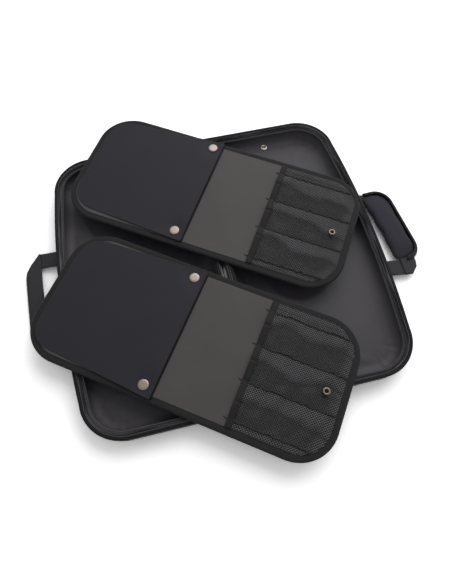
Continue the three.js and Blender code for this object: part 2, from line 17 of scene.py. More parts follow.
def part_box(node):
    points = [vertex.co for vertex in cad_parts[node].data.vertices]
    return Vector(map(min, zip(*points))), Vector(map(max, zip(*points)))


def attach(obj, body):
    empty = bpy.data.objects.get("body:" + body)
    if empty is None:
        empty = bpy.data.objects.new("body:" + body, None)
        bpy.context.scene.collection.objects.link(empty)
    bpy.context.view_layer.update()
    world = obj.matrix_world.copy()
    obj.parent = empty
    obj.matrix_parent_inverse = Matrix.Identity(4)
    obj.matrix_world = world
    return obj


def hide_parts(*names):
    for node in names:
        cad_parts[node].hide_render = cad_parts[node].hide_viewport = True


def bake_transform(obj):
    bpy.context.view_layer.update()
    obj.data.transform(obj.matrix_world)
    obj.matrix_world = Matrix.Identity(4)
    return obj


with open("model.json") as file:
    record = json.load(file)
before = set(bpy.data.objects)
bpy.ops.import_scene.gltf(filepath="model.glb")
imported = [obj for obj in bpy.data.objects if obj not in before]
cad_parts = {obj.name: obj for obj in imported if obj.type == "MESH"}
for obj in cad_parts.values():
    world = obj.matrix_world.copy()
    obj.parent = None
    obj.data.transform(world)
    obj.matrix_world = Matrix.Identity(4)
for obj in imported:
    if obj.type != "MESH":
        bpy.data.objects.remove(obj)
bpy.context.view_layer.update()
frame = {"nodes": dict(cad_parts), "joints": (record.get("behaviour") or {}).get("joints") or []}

MM = 0.001

# %% [markdown]
# ## Camera
# The case is seen from high in front, a little to the left of its middle, with a rather wide lens. A camera
# could be aimed at an empty by a Track To constraint. Here its place, the way it faces and its tilt are
# numbers, because those are what a photographer would note down.

# %% Camera
EYE = Vector((43.93 * MM, -324.87 * MM, 649.23 * MM))
EYE_AZIMUTH = math.radians(-15.128)
EYE_ELEVATION = math.radians(65.916)
EYE_ROLL = math.radians(1.7)
EYE_LENS = 29.161
SENSOR_WIDTH = 36
NEAREST_SEEN = 10 * MM


def camera_axes(azimuth, elevation, roll):
    forward = Vector((-math.sin(azimuth) * math.cos(elevation), math.cos(azimuth) * math.cos(elevation),
                      -math.sin(elevation)))
    right = Vector((math.cos(azimuth), math.sin(azimuth), 0))
    up = right.cross(forward)
    tilted_right = right * math.cos(roll) + up * math.sin(roll)
    tilted_up = up * math.cos(roll) - right * math.sin(roll)
    return Matrix((tilted_right, tilted_up, -forward)).transposed()


camera = bpy.data.objects.new("camera", bpy.data.cameras.new("camera"))
camera.data.lens = EYE_LENS
camera.data.sensor_width = SENSOR_WIDTH
camera.data.clip_start = NEAREST_SEEN
camera.matrix_world = Matrix.Translation(EYE) @ camera_axes(EYE_AZIMUTH, EYE_ELEVATION, EYE_ROLL).to_4x4()
bpy.context.scene.collection.objects.link(camera)
bpy.context.scene.camera = camera
print("camera at", [round(c, 3) for c in camera.location])

# %% [markdown]
# ## Measures
# The size of a tray and the place of each board are read from the frame's own nodes. They could be typed in
# again, but a size that is read can't drift away from the model. The rest are the sizes that a pattern cutter
# would know: corner radii, seam widths, and FIT, the gap left between two pieces that lie side by side.

# %% Measures of the trays
FIT = 0.3 * MM
shell_low, shell_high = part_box("left_shell")
cover_low, cover_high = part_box("right_shell")
TRAY_LENGTH = shell_high.y - shell_low.y
TRAY_WIDTH = shell_high.x - shell_low.x
RIM = shell_high.z
COVER_X = (cover_low.x + cover_high.x) / 2
SPINE_X = COVER_X / 2
OUTER_CORNER = 56 * MM
SPINE_CORNER = 10 * MM
SHARPEST = 1.5 * MM
SIDE_BOW = 9 * MM
print("tray", round(TRAY_WIDTH, 4), "by", round(TRAY_LENGTH, 4), "spine at", round(SPINE_X, 4))

# %% [markdown]
# The boards are loose and lie at a slant. Their slant could be measured as an angle, but it is read here from
# the two studs under each flap, because the line through them runs straight across the board.

# %% Measures of the boards
BOARD_LENGTH = 440 * MM
BOARD_WIDTH = 205 * MM
BOARD_CORNER = 55 * MM
BINDING_FACE = 10 * MM


def middle_of(node):
    low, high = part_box(node)
    return (low + high) / 2


def board_frame(prefix):
    """Where a board lies: its middle, its two axes, the height of its underside, and how far its flap's studs
    and its pocket's ring lie off its middle line."""
    studs = [middle_of(f"{prefix}_stud_{i}").to_2d() for i in (1, 2)]
    ring = middle_of(f"{prefix}_ring_socket").to_2d()
    middle = middle_of(f"{prefix}_binding").to_2d()
    across = (studs[0] - studs[1]).normalized()
    along = Vector((across.y, -across.x))
    between = (studs[0] + studs[1]) / 2 - middle
    return {"middle": middle, "along": along, "across": across, "seat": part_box(f"{prefix}_binding")[0].z,
            "flap_shift": between.dot(across), "cap_along": between.dot(along),
            "cap_across": (studs[0] - studs[1]).length / 2, "pocket_shift": (ring - middle).dot(across),
            "ring_along": (ring - middle).dot(along)}


BOARDS = {prefix: board_frame(prefix) for prefix in ("far_board", "near_board")}
for prefix, place in BOARDS.items():
    print(prefix, "lies at", [round(c, 4) for c in place["middle"]],
          "flap shifted", round(place["flap_shift"] / MM, 1), "pocket", round(place["pocket_shift"] / MM, 1))

# %% [markdown]
# ## Outlines
# A tray, a board and the grip are oblongs with rounded corners. A Bevel modifier could round the corners of a
# box. Here each outline is a closed ring of points instead, with the same number of points at any inset,
# because rings that match point for point can be stacked and skinned. So one outline serves the shell, its
# lining and its piping.

# %% Rings
def inner_line(start, end, steps):
    """The points between two places, without the two themselves."""
    shares = np.linspace(0, 1, steps + 1)[1:-1, None]
    return np.array(start) * (1 - shares) + np.array(end) * shares


def arc(x, y, radius, start, end, steps):
    angles = np.radians(np.linspace(start, end, steps + 1))
    return np.stack([x + radius * np.cos(angles), y + radius * np.sin(angles)], 1)


def rounded_ring(low, high, right, left, steps, right_side=None):
    """An oblong from low to high, drawn anticlockwise from its near left corner. Its right corners may be
    rounder than its left ones, and its right side may be given as points of its own."""
    ends, right_corner, right_steps, left_corner, left_steps = steps
    (x0, y0), (x1, y1) = low, high
    if right_side is None:
        right_side = inner_line((x1, y0 + right), (x1, y1 - right), right_steps)
    return np.concatenate([
        inner_line((x0 + left, y0), (x1 - right, y0), ends),
        arc(x1 - right, y0 + right, right, -90, 0, right_corner), right_side,
        arc(x1 - right, y1 - right, right, 0, 90, right_corner),
        inner_line((x1 - right, y1), (x0 + left, y1), ends),
        arc(x0 + left, y1 - left, left, 90, 180, left_corner),
        inner_line((x0, y1 - left), (x0, y0 + left), left_steps),
        arc(x0 + left, y0 + left, left, 180, 270, left_corner)])


# %% [markdown]
# A tray has a broad round at its two outer corners and a small one beside the spine, and its outer side bows
# a little. Moving a few points by hand could give the bow, but only at one inset. So it is part of the
# outline's own rule, and holds for every ring.

# %% Tray and board outlines
TRAY_STEPS = (46, 18, 91, 8, 110)
BOARD_STEPS = (90, 22, 26, 22, 26)


def tray_ring(inset):
    """A tray in plan, with the spine on its left. Its right side bows out a little."""
    side, end = TRAY_WIDTH / 2 - inset, TRAY_LENGTH / 2 - inset
    outer = max(OUTER_CORNER - inset, SHARPEST)
    inner = max(SPINE_CORNER - inset, SHARPEST)
    t = np.linspace(0, 1, TRAY_STEPS[2] + 1)[1:-1]
    bow = np.stack([side - SIDE_BOW + 4 * SIDE_BOW * t * (1 - t), (2 * t - 1) * (end - outer)], 1)
    return rounded_ring((-side, -end), (side - SIDE_BOW, end), outer, inner, TRAY_STEPS, bow)


def board_ring(inset):
    x, y, radius = BOARD_LENGTH / 2 - inset, BOARD_WIDTH / 2 - inset, BOARD_CORNER - inset
    return rounded_ring((-x, -y), (x, y), radius, radius, BOARD_STEPS)


print("points round a tray:", len(tray_ring(0)), "and a board:", len(board_ring(0)))

# %% [markdown]
# ## Placing
# Each half and each board is drawn about its own middle, where its sizes are easy to check. An object could
# be drawn there and then moved. Here the points themselves are carried to the frame, so that every object
# keeps the frame's origin. The left half is the right one given half a turn.

# %% Placing
HALVES = {"left": "base", "right": "cover"}
TURN = {"left": -1, "right": 1}
TRAY_X = {"left": 0, "right": COVER_X}


def in_tray(side, points):
    moved = np.array(points, float)
    moved[:, :2] *= TURN[side]
    moved[:, 0] += TRAY_X[side]
    return moved


def in_board(prefix, points):
    place = BOARDS[prefix]
    points = np.array(points, float)
    flat = points[:, :1] * np.array(place["along"]) + points[:, 1:2] * np.array(place["across"])
    return np.concatenate([flat + np.array(place["middle"]), points[:, 2:3] + place["seat"]], 1)


def at_height(ring, z):
    return np.concatenate([ring, np.broadcast_to(np.asarray(z, float), (len(ring),))[:, None]], 1)


print("a board's underside is at", round(BOARDS["far_board"]["seat"], 4))

# %% [markdown]
# ## Skins
# Almost every piece here is a stack of rings or rows with a skin of quads over it. Bridge Edge Loops does
# that by hand in edit mode. A short function is used instead, because it does it the same way each run. A
# second one makes the object and gives it its body and finish, so that no piece is left without them.

# %% Skin
def skin(rows, wrap_rows=False, wrap_columns=True, caps=False):
    """Quads between equally long rows of points, and flat ends if caps is set."""
    count, width = len(rows), len(rows[0])
    verts = np.concatenate(rows)
    faces = []
    for r in range(count if wrap_rows else count - 1):
        low, high = r * width, (r + 1) % count * width
        for c in range(width if wrap_columns else width - 1):
            d = (c + 1) % width
            faces.append((low + c, low + d, high + d, high + c))
    if caps:
        faces.append(tuple(range(width - 1, -1, -1)))
        faces.append(tuple((count - 1) * width + c for c in range(width)))
    return verts, faces


def make(name, mesh, body, finish, stands_for=(), smooth=True):
    verts, faces = mesh
    data = bpy.data.meshes.new(name)
    data.from_pydata([tuple(v) for v in verts], [], faces)
    data.validate()
    data.polygons.foreach_set("use_smooth", [smooth] * len(data.polygons))
    data.materials.append(finish)
    piece = bpy.data.objects.new(name, data)
    bpy.context.scene.collection.objects.link(piece)
    if body:
        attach(piece, body)
    if stands_for:
        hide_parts(*stands_for)
    return piece


print("a skin over two rings of a tray has", len(skin([tray_ring(0), tray_ring(FIT)])[1]), "faces")

# %% [markdown]
# ## Finishes
# Cloth is told apart here by its weave: plain nylon, ribbed tape, knitted net and coated sheet. A picture of
# each cloth could be laid on a piece that has been unwrapped. A node group is used instead, because it works
# from object coordinates, needs no unwrapping, and lets each material give its own values. These helpers
# build such groups.

# %% Group helpers
DARK = (0.05, 0.05, 0.05, 1)


def shader_group(name, values):
    """An empty group that takes a colour and named values, and puts out a colour and a height."""
    tree = bpy.data.node_groups.new(name, "ShaderNodeTree")
    colour = tree.interface.new_socket(name="Colour", in_out="INPUT", socket_type="NodeSocketColor")
    colour.default_value = DARK
    for title, value in values.items():
        socket = tree.interface.new_socket(name=title, in_out="INPUT", socket_type="NodeSocketFloat")
        socket.default_value = value
    tree.interface.new_socket(name="Colour", in_out="OUTPUT", socket_type="NodeSocketColor")
    tree.interface.new_socket(name="Height", in_out="OUTPUT", socket_type="NodeSocketFloat")
    return tree, tree.nodes.new("NodeGroupInput"), tree.nodes.new("NodeGroupOutput")


def feed(tree, socket, value):
    """Gives a socket a plain number, or the output of another node."""
    if isinstance(value, (int, float)):
        socket.default_value = value
    else:
        tree.links.new(value, socket)


def math_node(tree, operation, first, second=None):
    node = tree.nodes.new("ShaderNodeMath")
    node.operation = operation
    feed(tree, node.inputs[0], first)
    if second is not None:
        feed(tree, node.inputs[1], second)
    return node.outputs[0]


def noise_at(tree, vector, scale, detail):
    node = tree.nodes.new("ShaderNodeTexNoise")
    node.inputs["Detail"].default_value = detail
    feed(tree, node.inputs["Vector"], vector)
    feed(tree, node.inputs["Scale"], scale)
    return node.outputs["Fac"]


def about_zero(tree, value, strength):
    """A value that varies about a half, made to vary about nothing, as strongly as wanted."""
    return math_node(tree, "MULTIPLY", math_node(tree, "SUBTRACT", value, 0.5), strength)


def shaded(tree, colour, first, second):
    """A colour made lighter and darker by two changes that vary about nothing."""
    node = tree.nodes.new("ShaderNodeVectorMath")
    node.operation = "SCALE"
    feed(tree, node.inputs[0], colour)
    feed(tree, node.inputs["Scale"], math_node(tree, "ADD", math_node(tree, "ADD", first, second), 1.0))
    return node.outputs[0]


print("group helpers are ready")

# %% [markdown]
# The weave group crosses two rows of sine waves, the warp and the weft, or shows the warp alone as a rib. An
# image or a Wave texture could draw the yarns too. Sines are used because the distance between two yarns can
# then be given as a length. The colour is made darker where the yarns dip, which is painted shade between the
# yarns. A slow noise makes the dye a little patchy.

# %% The weave group
CLOUD_SCALE = 14.0
CLOUD_DETAIL = 3.0
YARN_RISE = 0.7


def weave_group():
    tree, given, out = shader_group("yarn weave", {
        "Pitch": 0.6 * MM, "Angle": 0.0, "Rib": 0.0, "Contrast": 0.4, "Patchiness": 0.2})
    place = tree.nodes.new("ShaderNodeTexCoord").outputs["Object"]
    turn = tree.nodes.new("ShaderNodeVectorRotate")
    turn.rotation_type = "Z_AXIS"
    tree.links.new(place, turn.inputs["Vector"])
    tree.links.new(given.outputs["Angle"], turn.inputs["Angle"])
    split = tree.nodes.new("ShaderNodeSeparateXYZ")
    tree.links.new(turn.outputs[0], split.inputs[0])
    up = math_node(tree, "MULTIPLY", split.outputs["Z"], YARN_RISE)
    per_yarn = math_node(tree, "DIVIDE", math.pi, given.outputs["Pitch"])

    def yarns(axis):
        along = math_node(tree, "ADD", split.outputs[axis], up)
        return math_node(tree, "SINE", math_node(tree, "MULTIPLY", along, per_yarn))

    warp, weft = yarns("X"), yarns("Y")
    crossed = math_node(tree, "MULTIPLY", math_node(tree, "MULTIPLY", warp, weft), 0.5)
    mix = tree.nodes.new("ShaderNodeMix")
    tree.links.new(given.outputs["Rib"], mix.inputs["Factor"])
    tree.links.new(math_node(tree, "ADD", crossed, 0.5), mix.inputs[2])
    tree.links.new(math_node(tree, "ABSOLUTE", warp), mix.inputs[3])
    height = mix.outputs[0]
    # The colour is darkened where the yarns dip: painted shade between the yarns.
    painted_yarn_shade = about_zero(tree, height, given.outputs["Contrast"])
    cloud = about_zero(tree, noise_at(tree, place, CLOUD_SCALE, CLOUD_DETAIL), given.outputs["Patchiness"])
    tree.links.new(shaded(tree, given.outputs["Colour"], painted_yarn_shade, cloud), out.inputs["Colour"])
    tree.links.new(height, out.inputs["Height"])
    return tree


WEAVE = weave_group()
print("weave group takes", [item.name for item in WEAVE.interface.items_tree if item.in_out == "INPUT"])

# %% [markdown]
# Coated sheet, moulded nylon and worn metal have no yarns. A smooth material could do, but it would look like
# new paint. The grain group adds a fine speckle and a broad unevenness, which cover all three with different
# values.

# %% The grain group
FINE_DETAIL = 2.0
BROAD_SCALE = 22.0
BROAD_DETAIL = 4.0


def grain_group():
    tree, given, out = shader_group("fine grain", {"Grain": 1400.0, "Contrast": 0.2, "Patchiness": 0.25})
    place = tree.nodes.new("ShaderNodeTexCoord").outputs["Object"]
    fine = noise_at(tree, place, given.outputs["Grain"], FINE_DETAIL)
    broad = noise_at(tree, place, BROAD_SCALE, BROAD_DETAIL)
    speckle = about_zero(tree, fine, given.outputs["Contrast"])
    uneven = about_zero(tree, broad, given.outputs["Patchiness"])
    tree.links.new(shaded(tree, given.outputs["Colour"], speckle, uneven), out.inputs["Colour"])
    tree.links.new(fine, out.inputs["Height"])
    return tree


GRAIN = grain_group()
print("groups:", [g.name for g in bpy.data.node_groups])

# %% [markdown]
# Each material keeps its own Principled BSDF and only places a group beside it. The group could hold the
# shader as well, but then it couldn't be exported. The height goes through a Bump node, because the yarns are
# far finer than the mesh. Two makers, woven and grained, serve every finish.

# %% Material makers
SHEEN_ROUGHNESS = 0.45
WOVEN_BUMP = 0.5
GRAIN_BUMP = 0.3
GRAIN_DEPTH = 0.1 * MM


def new_material(name, roughness, metallic=0.0, sheen=0.0, specular=0.5):
    made = bpy.data.materials.new(name)
    made.use_nodes = True
    shader = made.node_tree.nodes["Principled BSDF"]
    values = {"Roughness": roughness, "Metallic": metallic, "Sheen Weight": sheen,
              "Sheen Roughness": SHEEN_ROUGHNESS, "Specular IOR Level": specular}
    for title, value in values.items():
        shader.inputs[title].default_value = value
    return made, shader


def dress(made, shader, group, values, depth, strength):
    """Puts a group into a material, and its height through a bump."""
    tree = made.node_tree
    node = tree.nodes.new("ShaderNodeGroup")
    node.node_tree = group
    for title, value in values.items():
        node.inputs[title].default_value = value
    tree.links.new(node.outputs["Colour"], shader.inputs["Base Color"])
    bump = tree.nodes.new("ShaderNodeBump")
    bump.inputs["Strength"].default_value = strength
    bump.inputs["Distance"].default_value = depth
    tree.links.new(node.outputs["Height"], bump.inputs["Height"])
    tree.links.new(bump.outputs["Normal"], shader.inputs["Normal"])


def woven(name, colour, roughness, pitch, angle=0.0, rib=0.0, contrast=0.4, patchy=0.2, sheen=0.0,
          specular=0.4):
    made, shader = new_material(name, roughness, sheen=sheen, specular=specular)
    values = {"Colour": (*colour, 1), "Pitch": pitch, "Angle": math.radians(angle), "Rib": rib,
              "Contrast": contrast, "Patchiness": patchy}
    dress(made, shader, WEAVE, values, pitch / 4, WOVEN_BUMP)
    return made


def grained(name, colour, roughness, grain, contrast=0.2, patchy=0.25, metallic=0.0, specular=0.5):
    made, shader = new_material(name, roughness, metallic=metallic, specular=specular)
    values = {"Colour": (*colour, 1), "Grain": grain, "Contrast": contrast, "Patchiness": patchy}
    dress(made, shader, GRAIN, values, GRAIN_DEPTH, GRAIN_BUMP)
    return made


print("material makers are ready")

# %% [markdown]
# ## Shells
# A shell is a moulded tray wrapped in tight black cloth. It could be a box with bevelled edges and a Solidify
# modifier. Its section is drawn once instead, from the middle of the underside, round the foot, up the wall,
# over the rim and down inside, and every point of it becomes a ring. That keeps the foot's broad round and
# the rim's small one as they are.

# %% The shell's section
FOOT = 7 * MM
WALL = 2.4 * MM
RIM_ROUND = 1.1 * MM


def quarter(inset, z, radius, start, end, steps):
    """A round in a section of [inset, height] pairs. 180 degrees points outwards, and inset grows inwards."""
    angles = np.radians(np.linspace(start, end, steps + 1))
    return [(inset + radius * math.cos(a), z + radius * math.sin(a)) for a in angles]


def shell_section():
    inner_foot = FOOT + WALL
    return ([(FOOT * 2, 0)] + quarter(FOOT, FOOT, FOOT, 270, 180, 8)
            + [(0, RIM * share) for share in (0.4, 0.6, 0.8)]
            + quarter(RIM_ROUND, RIM - RIM_ROUND, RIM_ROUND, 180, 90, 4)
            + quarter(WALL - RIM_ROUND, RIM - RIM_ROUND, RIM_ROUND, 90, 0, 4)[1:]
            + [(WALL, RIM * 0.6)] + quarter(inner_foot, inner_foot, FOOT, 180, 270, 6)
            + [(inner_foot * 2, WALL)])


print("points in the section:", len(shell_section()))

# %% [markdown]
# The shells' cloth is a tight black weave that hardly shines. A plain black material would do from far off,
# but a weave breaks up the light on the rounds, so the weave group is placed in it, with a low gloss.

# %% Shells
SHELL_CLOTH = woven("shell cloth", (0.008, 0.008, 0.009), 0.5, 0.7 * MM, contrast=0.5, specular=0.2)


def shell(side, body):
    rows = [in_tray(side, at_height(tray_ring(inset), z)) for inset, z in shell_section()]
    return make(f"{side}_shell_cover", skin(rows, caps=True), body, SHELL_CLOTH, [f"{side}_shell"])


for side, body in HALVES.items():
    print(shell(side, body).name, "made")

# %% [markdown]
# ## Cloth cut to an outline
# A lining's floor, a board's sheets, a flap and a strap are flat cloth before they take their folds. One big
# face would stay flat, and a grid would have a ragged edge. So the outline is kept as it is and filled with
# small, nearly even triangles, which gives points to lift everywhere inside.

# %% Cloth helpers
FILL_CLEAR = 0.45
SAME_POINT = 1e-7


def inside(points, ring):
    """Which points lie inside a closed ring."""
    x, y = points[:, 0][:, None], points[:, 1][:, None]
    ax, ay = ring[:, 0], ring[:, 1]
    bx, by = np.roll(ax, -1), np.roll(ay, -1)
    crosses = (ay > y) != (by > y)
    safe = np.where(by == ay, 1, by - ay)
    return (crosses & (x < (bx - ax) * (y - ay) / safe + ax)).sum(1) % 2 == 1


def distance_to(ring, points):
    """How far each point is from the nearest point of a ring."""
    return np.array([np.hypot(*(ring - p).T).min() for p in points])


def filled(ring, spacing):
    """A flat cloth cut to a ring: its points, the ring's own first, and its triangles."""
    low, high = ring.min(0), ring.max(0)
    xs, ys = np.arange(low[0], high[0], spacing), np.arange(low[1], high[1], spacing)
    grid = np.stack(np.meshgrid(xs, ys), -1).reshape(-1, 2)
    grid = grid[inside(grid, ring)]
    grid = grid[distance_to(ring, grid) > spacing * FILL_CLEAR]
    points = [Vector(p) for p in np.concatenate([ring, grid])]
    made = delaunay_2d_cdt(points, [], [list(range(len(ring)))], 1, SAME_POINT)
    return np.array([tuple(v) for v in made[0]]), [tuple(f) for f in made[2]]


def add_thickness(piece, thickness, offset=-1.0):
    modifier = piece.modifiers.new("thickness", "SOLIDIFY")
    modifier.thickness = thickness
    modifier.offset = offset


print("cloth helpers are ready")

# %% [markdown]
# Folds come from slack, and slack is uneven. A cloth simulation would make folds too, but other ones whenever
# a setting changes. `ripple` adds a few waves that cross at random angles, always the same ones for the same
# seed, and `crease` sharpens them into ridges.

# %% Folds
WAVES = 5
CREASE_NARROWS = 2.2


def ripple(points, length, seed):
    draw = np.random.default_rng(seed)
    total = np.zeros(len(points))
    for _ in range(WAVES):
        angle, phase = draw.uniform(0, 2 * np.pi, 2)
        reach = length * draw.uniform(0.7, 1.5)
        along = points[:, 0] * np.cos(angle) + points[:, 1] * np.sin(angle)
        total += np.sin(along * 2 * np.pi / reach + phase)
    return total / WAVES ** 0.5


def crease(points, length, seed):
    return np.clip(1 - np.abs(ripple(points, length, seed)) * CREASE_NARROWS, 0, 1) ** 2


print("a ripple's height varies by", round(float(ripple(tray_ring(0), 0.08, 1).std()), 3))

# %% [markdown]
# ## Linings
# The lining is thin nylon glued to the walls and laid over the floor. It has more cloth than it needs in the
# round corners, so it puckers there, and long shallow creases run over the floor. It could be a simulated
# sheet dropped into the tray. It is drawn instead, because glue keeps it where the tray is: the wall is a
# stack of rings, the floor is a filled outline with the same border points, and the same ripple moves both.

# %% Puckers
LINING_INSET = 3.6 * MM
LINING_FLOOR = 3.9 * MM
LINING_TOP = 25 * MM
LINING_COVE = 20.5 * MM
LINING_FOOT = LINING_INSET + LINING_COVE
PUCKERS = 26
PUCKER_DRIFT = 1.6
DRIFTS = 7
CORNER_LEAD = 0.25


def corner_share(ring):
    """1 in the two round corners of a tray, falling to 0 along its straight sides."""
    reach = TRAY_WIDTH / 2 - SIDE_BOW - OUTER_CORNER
    past_x = np.clip((ring[:, 0] - reach) / OUTER_CORNER + CORNER_LEAD, 0, 1)
    past_y = np.clip((np.abs(ring[:, 1]) - TRAY_LENGTH / 2 + OUTER_CORNER) / OUTER_CORNER + CORNER_LEAD, 0, 1)
    return np.clip(past_x * past_y * 2, 0, 1)


def pucker(points):
    """Folds that fan out from each round corner."""
    x = points[:, 0] - (TRAY_WIDTH / 2 - SIDE_BOW - OUTER_CORNER)
    y = np.abs(points[:, 1]) - (TRAY_LENGTH / 2 - OUTER_CORNER)
    angle = np.arctan2(y, x)
    return np.sin(angle * PUCKERS + PUCKER_DRIFT * np.sin(angle * DRIFTS)) * corner_share(points)


print("puckered share of the rim:", round(float((corner_share(tray_ring(LINING_INSET)) > 0).mean()), 2))

# %% [markdown]
# The wall and the floor take the same puckers, so that a fold runs down the one and out onto the other. They
# could be two pieces, but a gap would show where they meet. So both are worked out as heights at their
# points, and the floor is pressed flat again round the stud.

# %% The lining's wall and floor
PUCKER = 1.9 * MM
WALL_PUCKER = PUCKER * 0.5
WALL_DRIP = PUCKER * 0.3
WALL_WAVE = 60 * MM
FLOOR_PUCKER = 0.7
PUCKER_FADE = 16 * MM
FLOOR_WAVE, FLOOR_WAVE_LENGTH, FLOOR_WAVE_FADE = 0.5 * MM, 110 * MM, 6 * MM
CREASE_HEIGHT, CREASE_LENGTH, CREASE_FADE = 1.3 * MM, 170 * MM, 10 * MM
FLOOR_LOWEST, FLOOR_HIGHEST = -0.2 * MM, 4 * MM
STUD_CLEAR = 13 * MM


def lining_wall(seed):
    """Rings from the lining's top edge down its wall and round into the floor."""
    section = [(LINING_INSET, LINING_TOP)]
    section += quarter(LINING_FOOT, LINING_FLOOR + LINING_COVE, LINING_COVE, 180, 270, 9)
    rows = []
    for inset, z in section:
        ring = tray_ring(inset)
        down = np.clip((LINING_TOP - z) / LINING_TOP, 0, 1)
        inwards = WALL_PUCKER * down * (pucker(ring) + 0.5 * ripple(ring, WALL_WAVE, seed))
        ring = ring - (ring / np.hypot(*ring.T)[:, None]) * inwards[:, None]
        rows.append(at_height(ring, z + WALL_DRIP * down * pucker(ring)))
    return rows


def floor_lift(side, flat, seed):
    """How far the floor stands up: puckers near the wall, waves and creases further in, none at the stud."""
    edge = distance_to(tray_ring(LINING_FOOT)[::4], flat)
    lift = PUCKER * np.exp(-edge / PUCKER_FADE) * pucker(flat) * FLOOR_PUCKER
    lift += FLOOR_WAVE * ripple(flat, FLOOR_WAVE_LENGTH, seed + 1) * (1 - np.exp(-edge / FLOOR_WAVE_FADE))
    lift += CREASE_HEIGHT * crease(flat, CREASE_LENGTH, seed + 2) * (1 - np.exp(-edge / CREASE_FADE))
    stud = middle_of(f"{side}_lining_stud")
    stud_x, stud_y = TURN[side] * (stud.x - TRAY_X[side]), TURN[side] * stud.y
    from_stud = np.hypot(flat[:, 0] - stud_x, flat[:, 1] - stud_y)
    return np.clip(lift, FLOOR_LOWEST, FLOOR_HIGHEST) * (1 - np.exp(-(from_stud / STUD_CLEAR) ** 4))


print("rings in a lining's wall:", len(lining_wall(1)))

# %% [markdown]
# The wall and the floor are joined into one cloth here. A flat sheet could also be bent up at its edges, but
# a floor of triangles inside a wall of quads is simpler to draw. Solidify gives the cloth its thickness.

# %% Linings
LINING_CLOTH = woven("lining nylon", (0.036, 0.032, 0.041), 0.5, 0.5 * MM, contrast=0.3, specular=0.45)
LINING_THICK = 0.7 * MM
LINING_GRAIN = 4 * MM
LINING_SEEDS = {"left": 11, "right": 23}


def lining_mesh(side, seed):
    rows = lining_wall(seed)
    border = rows[-1]
    count = len(border)
    flat, faces = filled(border[:, :2].copy(), LINING_GRAIN)
    z = LINING_FLOOR + floor_lift(side, flat, seed)
    wall_verts, wall_faces = skin(rows)
    start = len(wall_verts) - count
    verts = np.concatenate([wall_verts, at_height(flat[count:], z[count:])])
    floor_faces = [tuple(start + i for i in f) for f in faces]
    return in_tray(side, verts), wall_faces + floor_faces


def lining(side, body):
    mesh = lining_mesh(side, LINING_SEEDS[side])
    piece = make(f"{side}_lining_cloth", mesh, body, LINING_CLOTH, [f"{side}_lining"])
    add_thickness(piece, LINING_THICK)
    return piece


for side, body in HALVES.items():
    print(lining(side, body).name, "made")

# %% [markdown]
# ## Piping
# The rim is edged with a cord covered in black cloth. A curve with a round bevel would give a cord too. Rings
# of the tray's own outline are used, because they keep it on the rim in the corners and along the bowed side.

# %% Piping
PIPING_CLOTH = woven("piping cloth", (0.006, 0.006, 0.007), 0.5, 0.6 * MM, angle=45, specular=0.15)
PIPING_RADIUS = 1.75 * MM
PIPING_OUT = 0.2 * MM
PIPING_SIDES = 12


def piping(side, body):
    rows = []
    for a in np.linspace(0, 2 * np.pi, PIPING_SIDES, endpoint=False):
        ring = tray_ring(-PIPING_OUT + PIPING_RADIUS * math.cos(a))
        rows.append(in_tray(side, at_height(ring, RIM - PIPING_RADIUS + PIPING_RADIUS * math.sin(a))))
    return make(f"{side}_piping_cord", skin(rows, wrap_rows=True), body, PIPING_CLOTH,
                [f"{side}_piping"])


for side, body in HALVES.items():
    print(piping(side, body).name, "made")

# %% [markdown]
# ## Zip
# Inside the rim the zip tape runs round three sides and slopes down to its coil, in long folds that wander
# along it. A bump could fake the folds, but they are broad enough to catch the light as shapes. So the tape
# is drawn as a few lines, one for each fold, and left flat shaded, which keeps the folds crisp.

# %% Zip tape
TAPE_CLOTH = woven("zip tape", (0.024, 0.022, 0.027), 0.38, 0.8 * MM, rib=0.6, contrast=0.5, specular=0.6)
TAPE_SEEDS = {"left": 31, "right": 37}
ZIP_END = 20 * MM
TAPE_WIDTH = 5.8 * MM
TAPE_THICK = 0.7 * MM
TAPE_HIGH = 26.4 * MM
TAPE_FOLDS = [(0, 0.4 * MM), (0.14, 0.7 * MM), (0.24, -0.5 * MM), (0.40, -0.2 * MM), (0.50, 0.3 * MM),
              (0.60, -1.5 * MM), (0.78, -1.3 * MM), (0.88, -2.9 * MM), (1, -3.4 * MM)]
TAPE_SLACK = 0.4 * MM
TAPE_WAVE = 70 * MM
TAPE_WANDER = 0.8 * MM


def on_three_sides(inset):
    return tray_ring(inset)[tray_ring(0)[:, 0] > -TRAY_WIDTH / 2 + ZIP_END]


def tape_line(fold, seed):
    """Where one fold of the tape runs, and how high it stands."""
    share, up = TAPE_FOLDS[fold]
    ring = on_three_sides(WALL + FIT + share * TAPE_WIDTH)
    slack = TAPE_SLACK * ripple(ring, TAPE_WAVE, seed + fold) * math.sin(math.pi * min(share + 0.15, 1))
    return ring, TAPE_HIGH + up + np.clip(slack, -TAPE_WANDER, TAPE_WANDER)


def zip_tape(side, body):
    over, under = [], []
    for fold in range(len(TAPE_FOLDS)):
        ring, height = tape_line(fold, TAPE_SEEDS[side])
        over.append(in_tray(side, at_height(ring, height)))
        under.append(in_tray(side, at_height(ring, height - TAPE_THICK)))
    columns = np.stack(over + under[::-1], axis=1)
    return make(f"{side}_zip_tape_cloth", skin(columns, caps=True), body, TAPE_CLOTH,
                [f"{side}_zip_tape"], smooth=False)


print("points along a zip tape:", len(on_three_sides(0)))

# %% [markdown]
# The coil is a helix of nylon wire along the tape's inner edge, one turn for each tooth. A Screw modifier
# could wind it on a straight line, but not round the corners. So the path itself winds along the tape's edge,
# and a thin tube follows it.

# %% Zip coil
COIL_NYLON = grained("zip coil", (0.12, 0.112, 0.12), 0.25, 900.0)
COIL_INSET = 9.8 * MM
COIL_HIGH = 22.4 * MM
COIL_ACROSS = 1.3 * MM
COIL_UP = 1.0 * MM
TOOTH_PITCH = 1.7 * MM
TURN_POINTS = 8
WIRE = 0.38 * MM
ODD_DIRECTION = [0.11, 0.17, 0.98]


